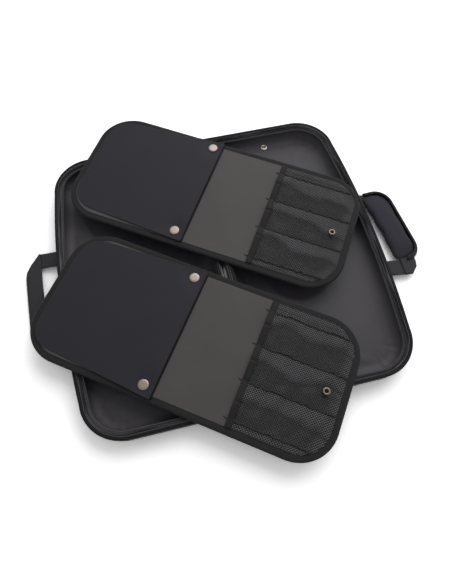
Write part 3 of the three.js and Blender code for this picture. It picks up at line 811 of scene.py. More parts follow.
def evenly(path, spacing):
    """Points a given distance apart along an open path."""
    steps = np.hypot(*np.diff(path[:, :2], axis=0).T)
    along = np.concatenate([[0], np.cumsum(steps)])
    places = np.arange(0, along[-1], spacing)
    return np.stack([np.interp(places, along, path[:, i]) for i in range(path.shape[1])], 1)


def tube(path, radius, sides):
    """A round tube along an open path. Its sides are set by a direction that no path here takes."""
    ahead = np.roll(path, -1, 0) - np.roll(path, 1, 0)
    ahead[0], ahead[-1] = path[1] - path[0], path[-1] - path[-2]
    ahead /= np.linalg.norm(ahead, axis=1)[:, None]
    across = np.cross(ahead, ODD_DIRECTION)
    across /= np.linalg.norm(across, axis=1)[:, None]
    above = np.cross(across, ahead)
    angles = np.linspace(0, 2 * np.pi, sides, endpoint=False)
    rows = [p + radius * (np.cos(angles)[:, None] * s + np.sin(angles)[:, None] * u)
            for p, s, u in zip(path, across, above)]
    return skin(rows, caps=True)


def zip_coil(side, body):
    path = evenly(on_three_sides(COIL_INSET), TOOTH_PITCH / TURN_POINTS)
    ahead = np.gradient(path, axis=0)
    out = np.stack([ahead[:, 1], -ahead[:, 0]], 1)
    out /= np.hypot(*out.T)[:, None]
    angle = np.arange(len(path)) * 2 * np.pi / TURN_POINTS
    winding = path + out * (COIL_ACROSS * np.cos(angle))[:, None]
    centre = in_tray(side, at_height(winding, COIL_HIGH + COIL_UP * np.sin(angle)))
    return make(f"{side}_zip_coil_nylon", tube(centre, WIRE, 4), body, COIL_NYLON,
                [f"{side}_zip_coil"])


for side, body in HALVES.items():
    print(zip_tape(side, body).name, zip_coil(side, body).name, "made")

# %% [markdown]
# ## Spine
# The halves are joined by a trough of cloth with corded ridges. It could be cut into strips that turn one by
# one, but they would gape when the case folds. So it is one piece, which is attached to neither half.

# %% Spine
SPINE_CLOTH = woven("spine cloth", (0.014, 0.014, 0.016), 0.28, 0.6 * MM, contrast=0.5, specular=0.9)
SPINE_HALF = (cover_low.x - shell_high.x) / 2
WEB_RADIUS = SPINE_HALF - 2.1 * MM
WEB_LENGTH = TRAY_LENGTH - 2 * SPINE_CORNER
WEB_THICK = 0.9 * MM
RIDGES = 3
RIDGE_HEIGHT = 1.5 * MM
RIDGE_SHARPNESS = 6
WEB_SAG = 0.25 * MM
SAGS_PER_METRE = 90


def spine_web():
    angles = np.radians(np.linspace(180, 360, 49))
    ridge = np.abs(np.sin((angles - math.pi) * (RIDGES + 1) / 2)) ** RIDGE_SHARPNESS
    radius = WEB_RADIUS - RIDGE_HEIGHT * ridge
    rows = []
    for y in np.linspace(-WEB_LENGTH / 2, WEB_LENGTH / 2, 120):
        sag = WEB_SAG * math.sin(y * SAGS_PER_METRE)
        r = radius - np.abs(sag) * np.sin(angles - math.pi)
        x, z = SPINE_X + r * np.cos(angles), RIM + FIT + r * np.sin(angles)
        rows.append(np.stack([x, np.full(len(angles), y), z], 1))
    mesh = skin(rows, wrap_columns=False)
    piece = make("spine_web_cloth", mesh, None, SPINE_CLOTH, ["spine_web", "spine_cord"])
    add_thickness(piece, WEB_THICK, 0.0)
    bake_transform(piece)
    return piece


print(spine_web().name, "made")

# %% [markdown]
# ## Stitching
# A seam is a row of short threads that dip into the cloth at both ends. They could be instanced along a
# curve. One mesh holds a whole row instead, so that a row stays one piece that rides on one body.

# %% Stitches
THREAD = woven("sewing thread", (0.012, 0.012, 0.014), 0.5, 0.4 * MM, angle=30, rib=1.0, contrast=0.5)
STITCH_PITCH = 3.4 * MM
STITCH_LENGTH = 2.5 * MM
THREAD_RADIUS = 0.24 * MM
THREAD_SIDES = 5
STITCH_STATIONS = [(-0.5, 0.5, -0.6), (-0.3, 1.0, 0.45), (0.3, 1.0, 0.45), (0.5, 0.5, -0.6)]
UPWARDS = np.array([0, 0, 1.0])


def join(*meshes):
    """Several meshes as one, laid side by side and not welded."""
    verts, faces, start = [], [], 0
    for some_verts, some_faces in meshes:
        verts.append(np.asarray(some_verts))
        faces += [tuple(start + i for i in f) for f in some_faces]
        start += len(some_verts)
    return np.concatenate(verts), faces


def stitch_row(path, up=1.0, closed=False, pitch=STITCH_PITCH, radius=THREAD_RADIUS):
    """Threads along a path. Each station gives a place along the thread, its girth there and its lift."""
    path = np.concatenate([path, path[:1]]) if closed else path
    spots = evenly(path, pitch)
    ahead = np.gradient(spots, axis=0)
    ahead /= np.linalg.norm(ahead, axis=1)[:, None]
    across = np.stack([-ahead[:, 1], ahead[:, 0], np.zeros(len(ahead))], 1)
    angles = np.linspace(0, 2 * np.pi, THREAD_SIDES, endpoint=False)
    meshes = []
    for spot, t, s in zip(spots, ahead, across):
        rows = []
        for along, girth, lift in STITCH_STATIONS:
            centre = spot + t * along * STITCH_LENGTH + np.array([0, 0, up * lift * radius])
            circle = np.cos(angles)[:, None] * s + np.sin(angles)[:, None] * UPWARDS
            rows.append(centre + radius * girth * circle)
        meshes.append(skin(rows, caps=True))
    return join(*meshes)


print("points in one stitch:", len(STITCH_STATIONS) * THREAD_SIDES)

# %% [markdown]
# A paler row sews the zip tape to the rim. It could be drawn in the tape's material, but the tape wanders up
# and down, and the row has to follow the crest of its first fold. So it is made of the same short threads.

# %% Rim stitches
RIM_THREAD = woven("rim thread", (0.16, 0.155, 0.165), 0.5, 0.4 * MM, angle=30, rib=1.0, contrast=0.5)
RIM_THREAD_RADIUS = 0.3 * MM
RIM_PITCH = 3.3 * MM


def rim_stitches(side, body):
    ring, height = tape_line(1, TAPE_SEEDS[side])
    path = in_tray(side, at_height(ring, height + RIM_THREAD_RADIUS / 2))
    row = stitch_row(path, pitch=RIM_PITCH, radius=RIM_THREAD_RADIUS)
    return make(f"{side}_rim_stitches", row, body, RIM_THREAD)


for side, body in HALVES.items():
    print(rim_stitches(side, body).name, "made")

# %% [markdown]
# ## Knife boards
# A board is a stiff sheet bound all round with woven tape. At one end a grey sheet shows and a guard flap
# closes over it with two press studs, and at the other a knitted net makes a pocket in three slots. The core
# could be a bevelled box. Four rings of the board's outline do the same and fit the tape exactly.

# %% Board core
BOARD_FACE = grained("board face", (0.010, 0.010, 0.011), 0.6, 1200.0, specular=0.2)
CORE_LOW, CORE_HIGH = 0.8 * MM, 4.8 * MM
CORE_INSET = 1.0 * MM
CORE_ROUND = 0.5 * MM


def board_core(prefix):
    section = [(CORE_INSET + CORE_ROUND, CORE_LOW), (CORE_INSET, CORE_LOW + CORE_ROUND),
               (CORE_INSET, CORE_HIGH - CORE_ROUND), (CORE_INSET + CORE_ROUND, CORE_HIGH)]
    rows = [in_board(prefix, at_height(board_ring(inset), z)) for inset, z in section]
    return make(f"{prefix}_core_panel", skin(rows, caps=True), prefix, BOARD_FACE,
                [f"{prefix}_core"])


print("a core is", round((CORE_HIGH - CORE_LOW) / MM, 1), "mm thick")

# %% [markdown]
# The binding is a folded tape with a groove where its seam pulls it in. A curve bevelled with a profile could
# carry it, but would pinch in the corners. Its section is drawn as [inset, height] pairs and each becomes a
# ring, like the shell's. A slight wave along the ring keeps the tape from looking moulded.

# %% Board binding
BINDING_TAPE = woven("binding tape", (0.016, 0.016, 0.016), 0.72, 0.9 * MM, angle=34, rib=0.5, contrast=0.5,
                     sheen=0.05, specular=0.2)
BINDING_HIGH = 5.6 * MM
TAPE = 0.5 * MM
SEAM_INSET = 7.9 * MM
SEAM_GROOVE = 0.12 * MM
THREAD_SUNK = 0.05 * MM
BINDING_WAVE, BINDING_WAVE_LENGTH = 0.10 * MM, 24 * MM
BINDING_SEEDS = {"far_board": 41, "near_board": 43}


def binding_section():
    """The tape's section: outside face round the edge, then back along its inside."""
    middle = BINDING_HIGH / 2
    outside = [(BINDING_FACE, SEAM_GROOVE), (BINDING_FACE - 0.5 * MM, 0), (8.4 * MM, 0),
               (SEAM_INSET, SEAM_GROOVE), (7.4 * MM, 0), (middle * 1.6, 0)]
    outside += quarter(middle, middle, middle, 270, 90, 10)
    outside += [(inset, BINDING_HIGH - z) for inset, z in outside[5::-1]]
    back = [(BINDING_FACE, BINDING_HIGH - TAPE), (middle, BINDING_HIGH - TAPE)]
    back += quarter(middle, middle, middle - TAPE, 90, 270, 6)[1:-1]
    return outside + back + [(middle, TAPE), (BINDING_FACE, TAPE)]


def binding(prefix):
    rows = []
    for inset, z in binding_section():
        ring = board_ring(inset)
        wave = BINDING_WAVE * ripple(ring, BINDING_WAVE_LENGTH, BINDING_SEEDS[prefix])
        rows.append(in_board(prefix, at_height(ring, z + wave * (inset / BINDING_FACE))))
    return make(f"{prefix}_binding_tape", skin(rows, wrap_rows=True), prefix, BINDING_TAPE,
                [f"{prefix}_binding"])


def binding_stitches(prefix):
    ring = board_ring(SEAM_INSET)
    over = in_board(prefix, at_height(ring, BINDING_HIGH - THREAD_SUNK))
    under = in_board(prefix, at_height(ring, THREAD_SUNK))
    rows = join(stitch_row(over, closed=True), stitch_row(under, up=-1.0, closed=True))
    return make(f"{prefix}_binding_stitches", rows, prefix, THREAD)


print("points in the binding's section:", len(binding_section()))

# %% [markdown]
# The grey sheet and the dark cloth behind the net share the board's face and meet at the pocket's mouth. One
# sheet with two materials would do as well, but the model has two, and each piece stands for one of them. So
# each is the board's outline, cut off at a straight line.

# %% Board panels
GREY_SHEET = grained("grey sheet", (0.068, 0.060, 0.061), 0.6, 1500.0, contrast=0.18, patchy=0.3,
                     specular=0.3)
NET_BACK = woven("net backing", (0.020, 0.020, 0.021), 0.7, 0.5 * MM, contrast=0.3, specular=0.2)
SHEET_LOW, SHEET_HIGH = 5.1 * MM, 5.9 * MM
SHEET_TUCK = 0.6 * MM
SHEET_GRAIN = 8 * MM
CUT_STEPS = 50
POCKET_LENGTH = 130.5 * MM
MOUTH = BOARD_LENGTH / 2 - POCKET_LENGTH


def cut_ring(inset, cut, keep_low):
    """The board's outline on one side of a line across it, closed along that line."""
    ring = board_ring(inset)
    side = BOARD_WIDTH / 2 - inset
    kept = ring[ring[:, 0] < cut] if keep_low else ring[ring[:, 0] > cut]
    ys = np.linspace(-side, side, CUT_STEPS)
    seam = np.stack([np.full(CUT_STEPS, cut), ys if keep_low else ys[::-1]], 1)
    start = int(np.argmax(np.hypot(*(np.roll(kept, -1, 0) - kept).T)))
    kept = np.roll(kept, -start - 1, 0)
    return np.concatenate([kept, seam])


def panel(prefix, name, ring, finish, node):
    flat, faces = filled(ring, SHEET_GRAIN)
    mesh = in_board(prefix, at_height(flat, SHEET_HIGH)), faces
    piece = make(f"{prefix}_{name}", mesh, prefix, finish, [f"{prefix}_{node}"], smooth=False)
    add_thickness(piece, SHEET_HIGH - SHEET_LOW)


def board_panels(prefix):
    inset = BINDING_FACE - SHEET_TUCK
    panel(prefix, "grey_sheet", cut_ring(inset, MOUTH, True), GREY_SHEET, "face_sheet")
    panel(prefix, "pocket_back", cut_ring(inset, MOUTH + FIT, False), NET_BACK, "pocket_backing")


for prefix in BOARDS:
    board_core(prefix)
    binding(prefix)
    binding_stitches(prefix)
    board_panels(prefix)
    print(prefix, "core, binding and panels made")

# %% [markdown]
# ## Net pocket
# The net is sewn down in four lines. Between them its slack stands up in a hump, with a fold that wanders
# along it. It could be a simulated cloth pinned along the seams. One height function gives the form instead,
# because the net, its mouth tape, the seams and the tacks all have to follow the same surface.

# %% Pocket slots
SEAM_SPACING = 53 * MM
FOLD_PLACE = 0.45
FOLD_WANDER = 0.15
FOLD_NEAREST, FOLD_FURTHEST = 0.22, 0.72
FOLD_WAVE = 85 * MM
SLOT_APART = 90 * MM
POCKET_SEEDS = {"far_board": 51, "near_board": 53}


def seam_places(prefix):
    return [(i - 1.5) * SEAM_SPACING + BOARDS[prefix]["pocket_shift"] for i in range(4)]


def slot_share(prefix, points):
    """How far across its slot each place lies, from 0 at one seam to 1 at the next, the slot's width, and its
    number."""
    side = BOARD_WIDTH / 2 - BINDING_FACE
    slots = np.array([-side] + seam_places(prefix) + [side])
    index = np.clip(np.searchsorted(slots, points[:, 1]) - 1, 0, len(slots) - 2)
    low, high = slots[index], slots[index + 1]
    return np.clip((points[:, 1] - low) / (high - low), 0, 1), high - low, index


def from_binding(points):
    return distance_to(board_ring(BINDING_FACE - MM)[::3], points)


def fold_line(points, index, seed):
    """The place of the fold in each slot, which wanders along the pocket."""
    along = np.stack([points[:, 0], index * SLOT_APART], 1)
    return np.clip(FOLD_PLACE + FOLD_WANDER * ripple(along, FOLD_WAVE, seed), FOLD_NEAREST, FOLD_FURTHEST)


for prefix in BOARDS:
    print(prefix, "seams lie at", [round(s / MM, 1) for s in seam_places(prefix)], "mm")

# %% [markdown]
# The net's rise is a product of shares: the hump across a slot, the fall towards the binding, and the pull of
# the ring socket. A sculpted surface could have all three, but here each can be changed by itself.

# %% Pocket height
NET_LOW = 6.3 * MM
NET_RISE = 4.8 * MM
NET_FULLNESS = 0.6
CREST_DENT, CREST_WIDTH = 0.3, 0.035
EDGE_FALL, EDGE_CURVE = 20 * MM, 0.9
RING_PULL, RING_REACH = 0.55, 13 * MM
NET_SLACK, NET_WAVE = 0.35 * MM, 26 * MM
TUCK, TUCK_WIDTH = 0.8 * MM, 1.5 * MM


def pocket_height(prefix, points, seed):
    """How high the net stands above the board's underside at places on the board."""
    share, width, index = slot_share(prefix, points)
    fold = fold_line(points, index, seed)
    falls = np.cos((share - fold) / (1 - fold) * np.pi / 2) ** NET_FULLNESS
    bulge = np.where(share < fold, (share / fold) ** NET_FULLNESS, falls)
    bulge *= 1 - CREST_DENT * np.exp(-((share - fold) / CREST_WIDTH) ** 2)
    bulge *= np.clip(width / SEAM_SPACING, 0, 1)
    edge = from_binding(points)
    falling = np.clip(edge / EDGE_FALL, 0, 1) ** EDGE_CURVE
    place = BOARDS[prefix]
    from_ring = np.hypot(points[:, 0] - place["ring_along"], points[:, 1] - place["pocket_shift"])
    ring_pull = np.exp(-from_ring ** 2 / RING_REACH ** 2)
    slack = NET_SLACK * ripple(points, NET_WAVE, seed + 1) * bulge * falling
    rise = NET_RISE * bulge * falling * (1 - RING_PULL * ring_pull)
    return NET_LOW - TUCK * (edge < TUCK_WIDTH) + rise + slack


for prefix, seed in POCKET_SEEDS.items():
    height = float(pocket_height(prefix, np.array([[MOUTH + EDGE_FALL, 0.0]]), seed)[0])
    print(prefix, "net stands", round(height / MM, 1), "mm over the underside, a little in from its mouth")

# %% [markdown]
# The net is knitted in diamonds. A picture with holes in it would do from far off, but real holes show the
# backing and hold their shadow from near by. So a lattice of diamonds is laid over the pocket's form and a
# Wireframe modifier turns its edges into strands. Where the knit is drawn tight its strands are thinner, and
# the dark backing shows more.

# %% Nets
NET_YARN = woven("net yarn", (0.19, 0.186, 0.194), 0.5, 0.5 * MM, rib=1.0, contrast=0.3, sheen=0.1,
                 specular=0.4)
NET_ALONG = 3.9 * MM
NET_ACROSS = 3.7 * MM
STRAND = 0.7 * MM
TIGHT_SHARE = 0.22
RING_HOLE = 3.5 * MM
MOUTH_OVERLAP = 0.6 * MM
LOOSE_PAST_FOLD = 0.22
LOOSE_EDGE = 11 * MM
SEAM_HOLD = 1.6 * MM
FOLD_HOLD = 0.05
HELD_TIGHT = 0.8
PATCHY_KNIT, PATCHY_LENGTH = 0.2, 30 * MM


def diamonds(ring):
    """A lattice of diamonds inside a ring: its points and its four-sided faces."""
    low, high = ring.min(0), ring.max(0)
    columns = int((high[0] - low[0]) / (NET_ALONG / 2)) + 2
    rows = int((high[1] - low[1]) / (NET_ACROSS / 2)) + 2
    index, points, faces = {}, [], []

    def point(c, r):
        if (c, r) not in index:
            index[(c, r)] = len(points)
            points.append((low[0] + c * NET_ALONG / 2, low[1] + r * NET_ACROSS / 2))
        return index[(c, r)]

    centres = [(c, r) for c in range(1, columns) for r in range(1, rows) if (c + r) % 2 == 0]
    places = np.array([(low[0] + c * NET_ALONG / 2, low[1] + r * NET_ACROSS / 2) for c, r in centres])
    for (c, r), fits in zip(centres, inside(places, ring)):
        if fits:
            faces.append((point(c - 1, r), point(c, r - 1), point(c + 1, r), point(c, r + 1)))
    return np.array(points), faces


def looseness(prefix, flat, seed):
    """How loose the knit is: loose past the fold and round the edge, tight before the fold and on seams."""
    share, width, index = slot_share(prefix, flat)
    fold = fold_line(flat, index, seed)
    past_fold = np.clip((share - fold) / LOOSE_PAST_FOLD, 0, 1)
    at_edge = np.clip(1.5 - from_binding(flat) / LOOSE_EDGE, 0, 1)
    narrow = (width < SEAM_SPACING * 0.8) * 0.9
    in_seam = np.exp(-(np.minimum(share, 1 - share) * width / SEAM_HOLD) ** 2)
    on_fold = np.exp(-((share - fold) / FOLD_HOLD) ** 2)
    patchy = PATCHY_KNIT * ripple(flat, PATCHY_LENGTH, seed + 5)
    loose = np.maximum(np.maximum(past_fold, at_edge), narrow) + patchy
    return np.clip(loose, 0, 1) * (1 - HELD_TIGHT * in_seam) * (1 - HELD_TIGHT * on_fold)


def net(prefix, seed):
    flat, faces = diamonds(cut_ring(BINDING_FACE + FIT, MOUTH - MOUTH_OVERLAP, False))
    place = BOARDS[prefix]
    hole = np.hypot(flat[:, 0] - place["ring_along"], flat[:, 1] - place["pocket_shift"]) < RING_HOLE
    faces = [f for f in faces if not hole[list(f)].any()]
    verts = in_board(prefix, at_height(flat, pocket_height(prefix, flat, seed)))
    nodes = [f"{prefix}_pocket_net", f"{prefix}_pocket_edge"]
    nodes += [f"{prefix}_pocket_seam_{i}" for i in range(1, 5)]
    piece = make(f"{prefix}_net_knit", (verts, faces), prefix, NET_YARN, nodes)
    group = piece.vertex_groups.new(name="loose")
    for i, weight in enumerate(looseness(prefix, flat, seed)):
        group.add([i], float(weight), "REPLACE")
    modifier = piece.modifiers.new("strands", "WIREFRAME")
    modifier.thickness = STRAND
    modifier.vertex_group = group.name
    modifier.thickness_vertex_group = TIGHT_SHARE
    modifier.use_even_offset = False
    modifier.use_boundary = True
    return piece


for prefix, seed in POCKET_SEEDS.items():
    print(net(prefix, seed).name, "made")

# %% [markdown]
# A stiff tape binds the pocket's mouth. It could be a strip shrunk onto the net, but it is stiffer than the
# net and lies a little lower. So it takes nine tenths of the net's rise a little way in, and its section is
# swept along that line.

# %% Mouth tape
MOUTH_TAPE = 9 * MM
MOUTH_IN = 1.2 * MM
MOUTH_STEPS = 150
MOUTH_FOLLOWS = 0.9
FOLLOWED_AT = 6 * MM
MOUTH_SECTION = [(-1, 0), (-1, 0.7 * MM), (-0.9, 1.15 * MM), (-0.5, 1.3 * MM), (-0.1, 1.15 * MM),
                 (0, 0.7 * MM), (0, 0)]
MOUTH_SEAM = 1.4 * MM
MOUTH_SEAM_HIGH = 1.2 * MM


def mouth_rise(prefix, ys, seed):
    points = np.stack([np.full(len(ys), MOUTH + FOLLOWED_AT), ys], 1)
    rise = pocket_height(prefix, points, seed)
    return NET_LOW + (rise - NET_LOW) * MOUTH_FOLLOWS


def mouth_tape(prefix, seed):
    side = BOARD_WIDTH / 2 - BINDING_FACE + SHEET_TUCK
    ys = np.linspace(-side, side, MOUTH_STEPS)
    middle = mouth_rise(prefix, ys, seed)
    rows = []
    for i, y in enumerate(ys):
        rows.append(in_board(prefix, [(MOUTH + MOUTH_IN + out * MOUTH_TAPE, y, middle[i] + up)
                                      for out, up in MOUTH_SECTION]))
    seam_x = np.full(MOUTH_STEPS, MOUTH + MOUTH_IN - MOUTH_SEAM)
    seam = in_board(prefix, np.stack([seam_x, ys, middle + MOUTH_SEAM_HIGH], 1))
    make(f"{prefix}_mouth_stitches", stitch_row(seam), prefix, THREAD)
    return make(f"{prefix}_mouth_binding", skin(rows, caps=True), prefix, BINDING_TAPE,
                [f"{prefix}_mouth_tape"])


print("the mouth lies", round(MOUTH / MM, 1), "mm past the board's middle")

# %% [markdown]
# Four seams hold the net down, and at each a short tack crosses the mouth tape. A line drawn in the material
# would stay flat. So each seam is a thin tube that puckers a little to either side, with a row of stitches on
# top.

# %% Seams and tacks
SEAM_CORD = 1.35 * MM
SEAM_STEPS = 90
SEAM_PUCKER, SEAM_PUCKER_LENGTH = 1.1 * MM, 9 * MM
SEAM_LIFT = 0.45 * MM
SEAM_PITCH = 2.9 * MM
CORD_SIDES = 6
TACK_OUT = 4.5 * MM
TACK_RADIUS = 0.5 * MM


def reach_at(y):
    """How far along the board its binding's inner edge lies at a place across it."""
    radius = BOARD_CORNER - BINDING_FACE
    past = max(abs(y) - (BOARD_WIDTH / 2 - BOARD_CORNER), 0)
    return BOARD_LENGTH / 2 - BOARD_CORNER + math.sqrt(radius ** 2 - past ** 2)


def seam_path(prefix, y, seed):
    xs = np.linspace(MOUTH, reach_at(y) - MM, SEAM_STEPS)
    straight = np.stack([xs, np.full(SEAM_STEPS, y)], 1)
    points = np.stack([xs, y + SEAM_PUCKER * ripple(straight, SEAM_PUCKER_LENGTH, seed + 9)], 1)
    return in_board(prefix, at_height(points, pocket_height(prefix, points, seed) + SEAM_LIFT))


def tack_path(prefix, y, seed):
    """From the grey sheet up over the mouth tape."""
    low = float(mouth_rise(prefix, np.array([y]), seed)[0])
    edge = MOUTH - MOUTH_TAPE
    return in_board(prefix, [
        (edge - TACK_OUT, y + 0.8 * MM, SHEET_HIGH + 0.3 * MM), (edge - 0.6 * MM, y, SHEET_HIGH + 0.5 * MM),
        (edge, y, low + 1.1 * MM), (MOUTH - MOUTH_TAPE / 2, y, low + 1.6 * MM), (MOUTH, y, low + 1.0 * MM)])


def pocket_threads(prefix, seed):
    parts = []
    for y in seam_places(prefix):
        path = seam_path(prefix, y, seed)
        parts += [tube(path, SEAM_CORD, CORD_SIDES), stitch_row(path + [0, 0, SEAM_CORD], pitch=SEAM_PITCH)]
        parts.append(tube(tack_path(prefix, y, seed), TACK_RADIUS, CORD_SIDES))
    return make(f"{prefix}_pocket_threads", join(*parts), prefix, THREAD)


for prefix, seed in POCKET_SEEDS.items():
    print(mouth_tape(prefix, seed).name, pocket_threads(prefix, seed).name, "made")

# %% [markdown]
# ## Guard flap
# The flap is a coated sheet sewn in at the board's end. Its root corners are rounded unevenly, as a sheet cut
# by hand is, so a rounded oblong wouldn't do. Each corner is a bend drawn towards the point where its two
# sides would meet.

# %% Flap outline
FLAP_PAST_CAPS = 15 * MM
FLAP_END_HALF = 98.3 * MM
FLAP_HALVES = {"far_board": (90.5 * MM, 88.5 * MM), "near_board": (88.0 * MM, 89.5 * MM)}
ROOT_CORNERS = {"far_board": 46 * MM, "near_board": 38 * MM}
FLAP_ROOT = -BOARD_LENGTH / 2 + BINDING_FACE + FIT


def bend_through(start, pull, end, steps):
    """A smooth bend from start to end, drawn towards a third place."""
    t = np.linspace(0, 1, steps + 1)[:, None]
    return (1 - t) ** 2 * np.array(start) + 2 * t * (1 - t) * np.array(pull) + t ** 2 * np.array(end)


def flap_edge(prefix):
    return BOARDS[prefix]["cap_along"] + FLAP_PAST_CAPS


def flap_ring(prefix):
    """The flap's outline, drawn about its own middle line."""
    free, corner, (near, far) = flap_edge(prefix), ROOT_CORNERS[prefix], FLAP_HALVES[prefix]
    low = bend_through((FLAP_ROOT, corner - near), (FLAP_ROOT, -near), (FLAP_ROOT + corner, -near), 16)
    high = bend_through((FLAP_ROOT + corner, far), (FLAP_ROOT, far), (FLAP_ROOT, far - corner), 16)
    ends = [(free, -FLAP_END_HALF), (free, FLAP_END_HALF)]
    return np.concatenate([
        low, inner_line(low[-1], ends[0], 36), ends[:1], inner_line(ends[0], ends[1], 60), ends[1:],
        inner_line(ends[1], high[0], 36), high, inner_line(high[-1], low[0], 20)])


def flat_area(ring):
    x, y = ring[:, 0], ring[:, 1]
    return abs(np.dot(x, np.roll(y, -1)) - np.dot(y, np.roll(x, -1))) / 2


for prefix in BOARDS:
    print(prefix, "flap is", round(float(flat_area(flap_ring(prefix))), 4), "square metres")

# %% [markdown]
# The flap's free edge is hemmed, so a narrow band stands a little higher with a seam beside it, and the sheet
# gapes slightly between the studs. Sculpting could give that, but a height function can be read and changed.

# %% Flap form
FLAP_LOW = 6.3 * MM
FLAP_THICK = 1.0 * MM
FLAP_GAPE = 2.6 * MM
HEM = 4.2 * MM
GROOVE, GROOVE_WIDTH = 0.5 * MM, 0.9 * MM
STUD_HOLD = 17 * MM
FLAP_WAVE, FLAP_WAVE_LENGTH = 0.3 * MM, 130 * MM


def flap_lift(prefix, points, seed):
    """The flap's upper face. It gapes a little between its studs, and has a groove along the hem."""
    place, free = BOARDS[prefix], flap_edge(prefix)
    share = np.clip((points[:, 0] - FLAP_ROOT) / (free - FLAP_ROOT), 0, 1)
    groove = GROOVE * np.exp(-((points[:, 0] - free + HEM) / GROOVE_WIDTH) ** 2)
    from_studs = np.hypot(points[:, 0] - place["cap_along"], np.abs(points[:, 1]) - place["cap_across"])
    held = np.exp(-(from_studs / STUD_HOLD) ** 2)
    gape = FLAP_GAPE * share ** 3 + FLAP_WAVE * np.abs(ripple(points, FLAP_WAVE_LENGTH, seed)) * share
    return FLAP_LOW + FLAP_THICK + gape * (1 - held) - groove


def flap_place(prefix, flat, height):
    return in_board(prefix, at_height(flat + [0, BOARDS[prefix]["flap_shift"]], height))


print("a flap's free edge is", round(flap_edge("far_board") / MM, 1), "mm along its board")

# %% [markdown]
# The flap is the filled outline with thickness, a slightly rounded edge and shading that its broad faces
# decide. A black strip lies under the free edge and shows as a dark line past it, which is painted shadow for
# the gap under the edge. It could be painted on, but it has to stay under the edge when the flap opens, so it
# rides on the flap as a piece of its own.

# %% Flaps
FLAP_SHEET = grained("coated flap", (0.022, 0.022, 0.028), 0.6, 1800.0, contrast=0.3, patchy=0.2,
                     specular=0.2)
FLAP_BODIES = {"far_board": "far_flap", "near_board": "near_flap"}
FLAP_SEEDS = {"far_board": 61, "near_board": 67}
FLAP_GRAIN = 3.6 * MM
FLAP_ROUND = 0.2 * MM
# The black strip of painted shadow past the free edge: its width, how far it shows and its thickness.
SHADOW_STRIP_WIDTH = 12 * MM
SHADOW_STRIP_PROUD = 2.3 * MM
SHADOW_STRIP_THICK = 0.3 * MM
HEM_STEPS = 80


def add_edge(piece, width):
    modifier = piece.modifiers.new("edge", "BEVEL")
    modifier.width = width
    modifier.segments = 2
    modifier.limit_method = "ANGLE"
    modifier.angle_limit = math.radians(40)


def even_shading(piece):
    """Lets the broad faces decide the shading, so that a flat cloth doesn't look swollen at its edge."""
    modifier = piece.modifiers.new("even shading", "WEIGHTED_NORMAL")
    modifier.weight = 80


# A black strip that shows past the flap's free edge: painted shadow for the gap under the edge.
def painted_shadow_strip(prefix, body):
    free, half = flap_edge(prefix), FLAP_END_HALF - 0.8 * MM
    xs = np.array([free - SHADOW_STRIP_WIDTH, free - SHADOW_STRIP_WIDTH / 2, free, free + SHADOW_STRIP_PROUD])
    rows = []
    for y in np.linspace(-half, half, 60):
        flat = np.stack([xs, np.full(len(xs), y)], 1)
        rows.append(flap_place(prefix, flat, FLAP_LOW + 0.1 * MM))
    piece = make(f"{prefix}_flap_shadow_strip", skin(rows, wrap_columns=False), body, PIPING_CLOTH)
    add_thickness(piece, SHADOW_STRIP_THICK)
    return piece


def flap(prefix, body, seed):
    ring = flap_ring(prefix)
    flat, faces = filled(ring, FLAP_GRAIN)
    mesh = flap_place(prefix, flat, flap_lift(prefix, flat, seed)), faces
    piece = make(f"{prefix}_flap_sheet", mesh, body, FLAP_SHEET, [f"{prefix}_flap"])
    add_thickness(piece, FLAP_THICK)
    add_edge(piece, FLAP_ROUND)
    even_shading(piece)
    hem_ys = np.linspace(-1, 1, HEM_STEPS) * (FLAP_END_HALF - 2 * MM)
    hem_line = np.stack([np.full(HEM_STEPS, flap_edge(prefix) - HEM), hem_ys], 1)
    seam = flap_place(prefix, hem_line, flap_lift(prefix, hem_line, seed))
    threads = make(f"{prefix}_flap_stitches", stitch_row(seam), body, THREAD)
    painted_shadow_strip(prefix, body)
    return piece


for prefix, body in FLAP_BODIES.items():
    print(flap(prefix, body, FLAP_SEEDS[prefix]).name, "made")

# %% [markdown]
# ## Press studs
# Caps, ring sockets and studs are turned parts. A Screw modifier could spin their profiles. A function does
# it here, because a ring socket's flange is also pressed into small lobes, which is what catches the light in
# it. Profiles are [radius, height] pairs in millimetres, above a base.

# %% Turned profiles
LOBED_PAST = 1.4


def profile(base, pairs):
    return [(radius * MM, base + up * MM) for radius, up in pairs]


def spun(section, sides=48, lobes=0, lobe_depth=0.0):
    """A turned solid about Z from a profile whose ends lie on the axis."""
    angles = np.linspace(0, 2 * np.pi, sides, endpoint=False)
    rows = []
    for radius, z in section[1:-1]:
        lobed = radius > section[-2][0] * LOBED_PAST
        r = radius * (1 - lobe_depth * (0.5 - 0.5 * np.cos(angles * lobes)) * lobed)
        rows.append(np.stack([r * np.cos(angles), r * np.sin(angles), np.full(sides, z)], 1))
    return skin(rows, caps=True)


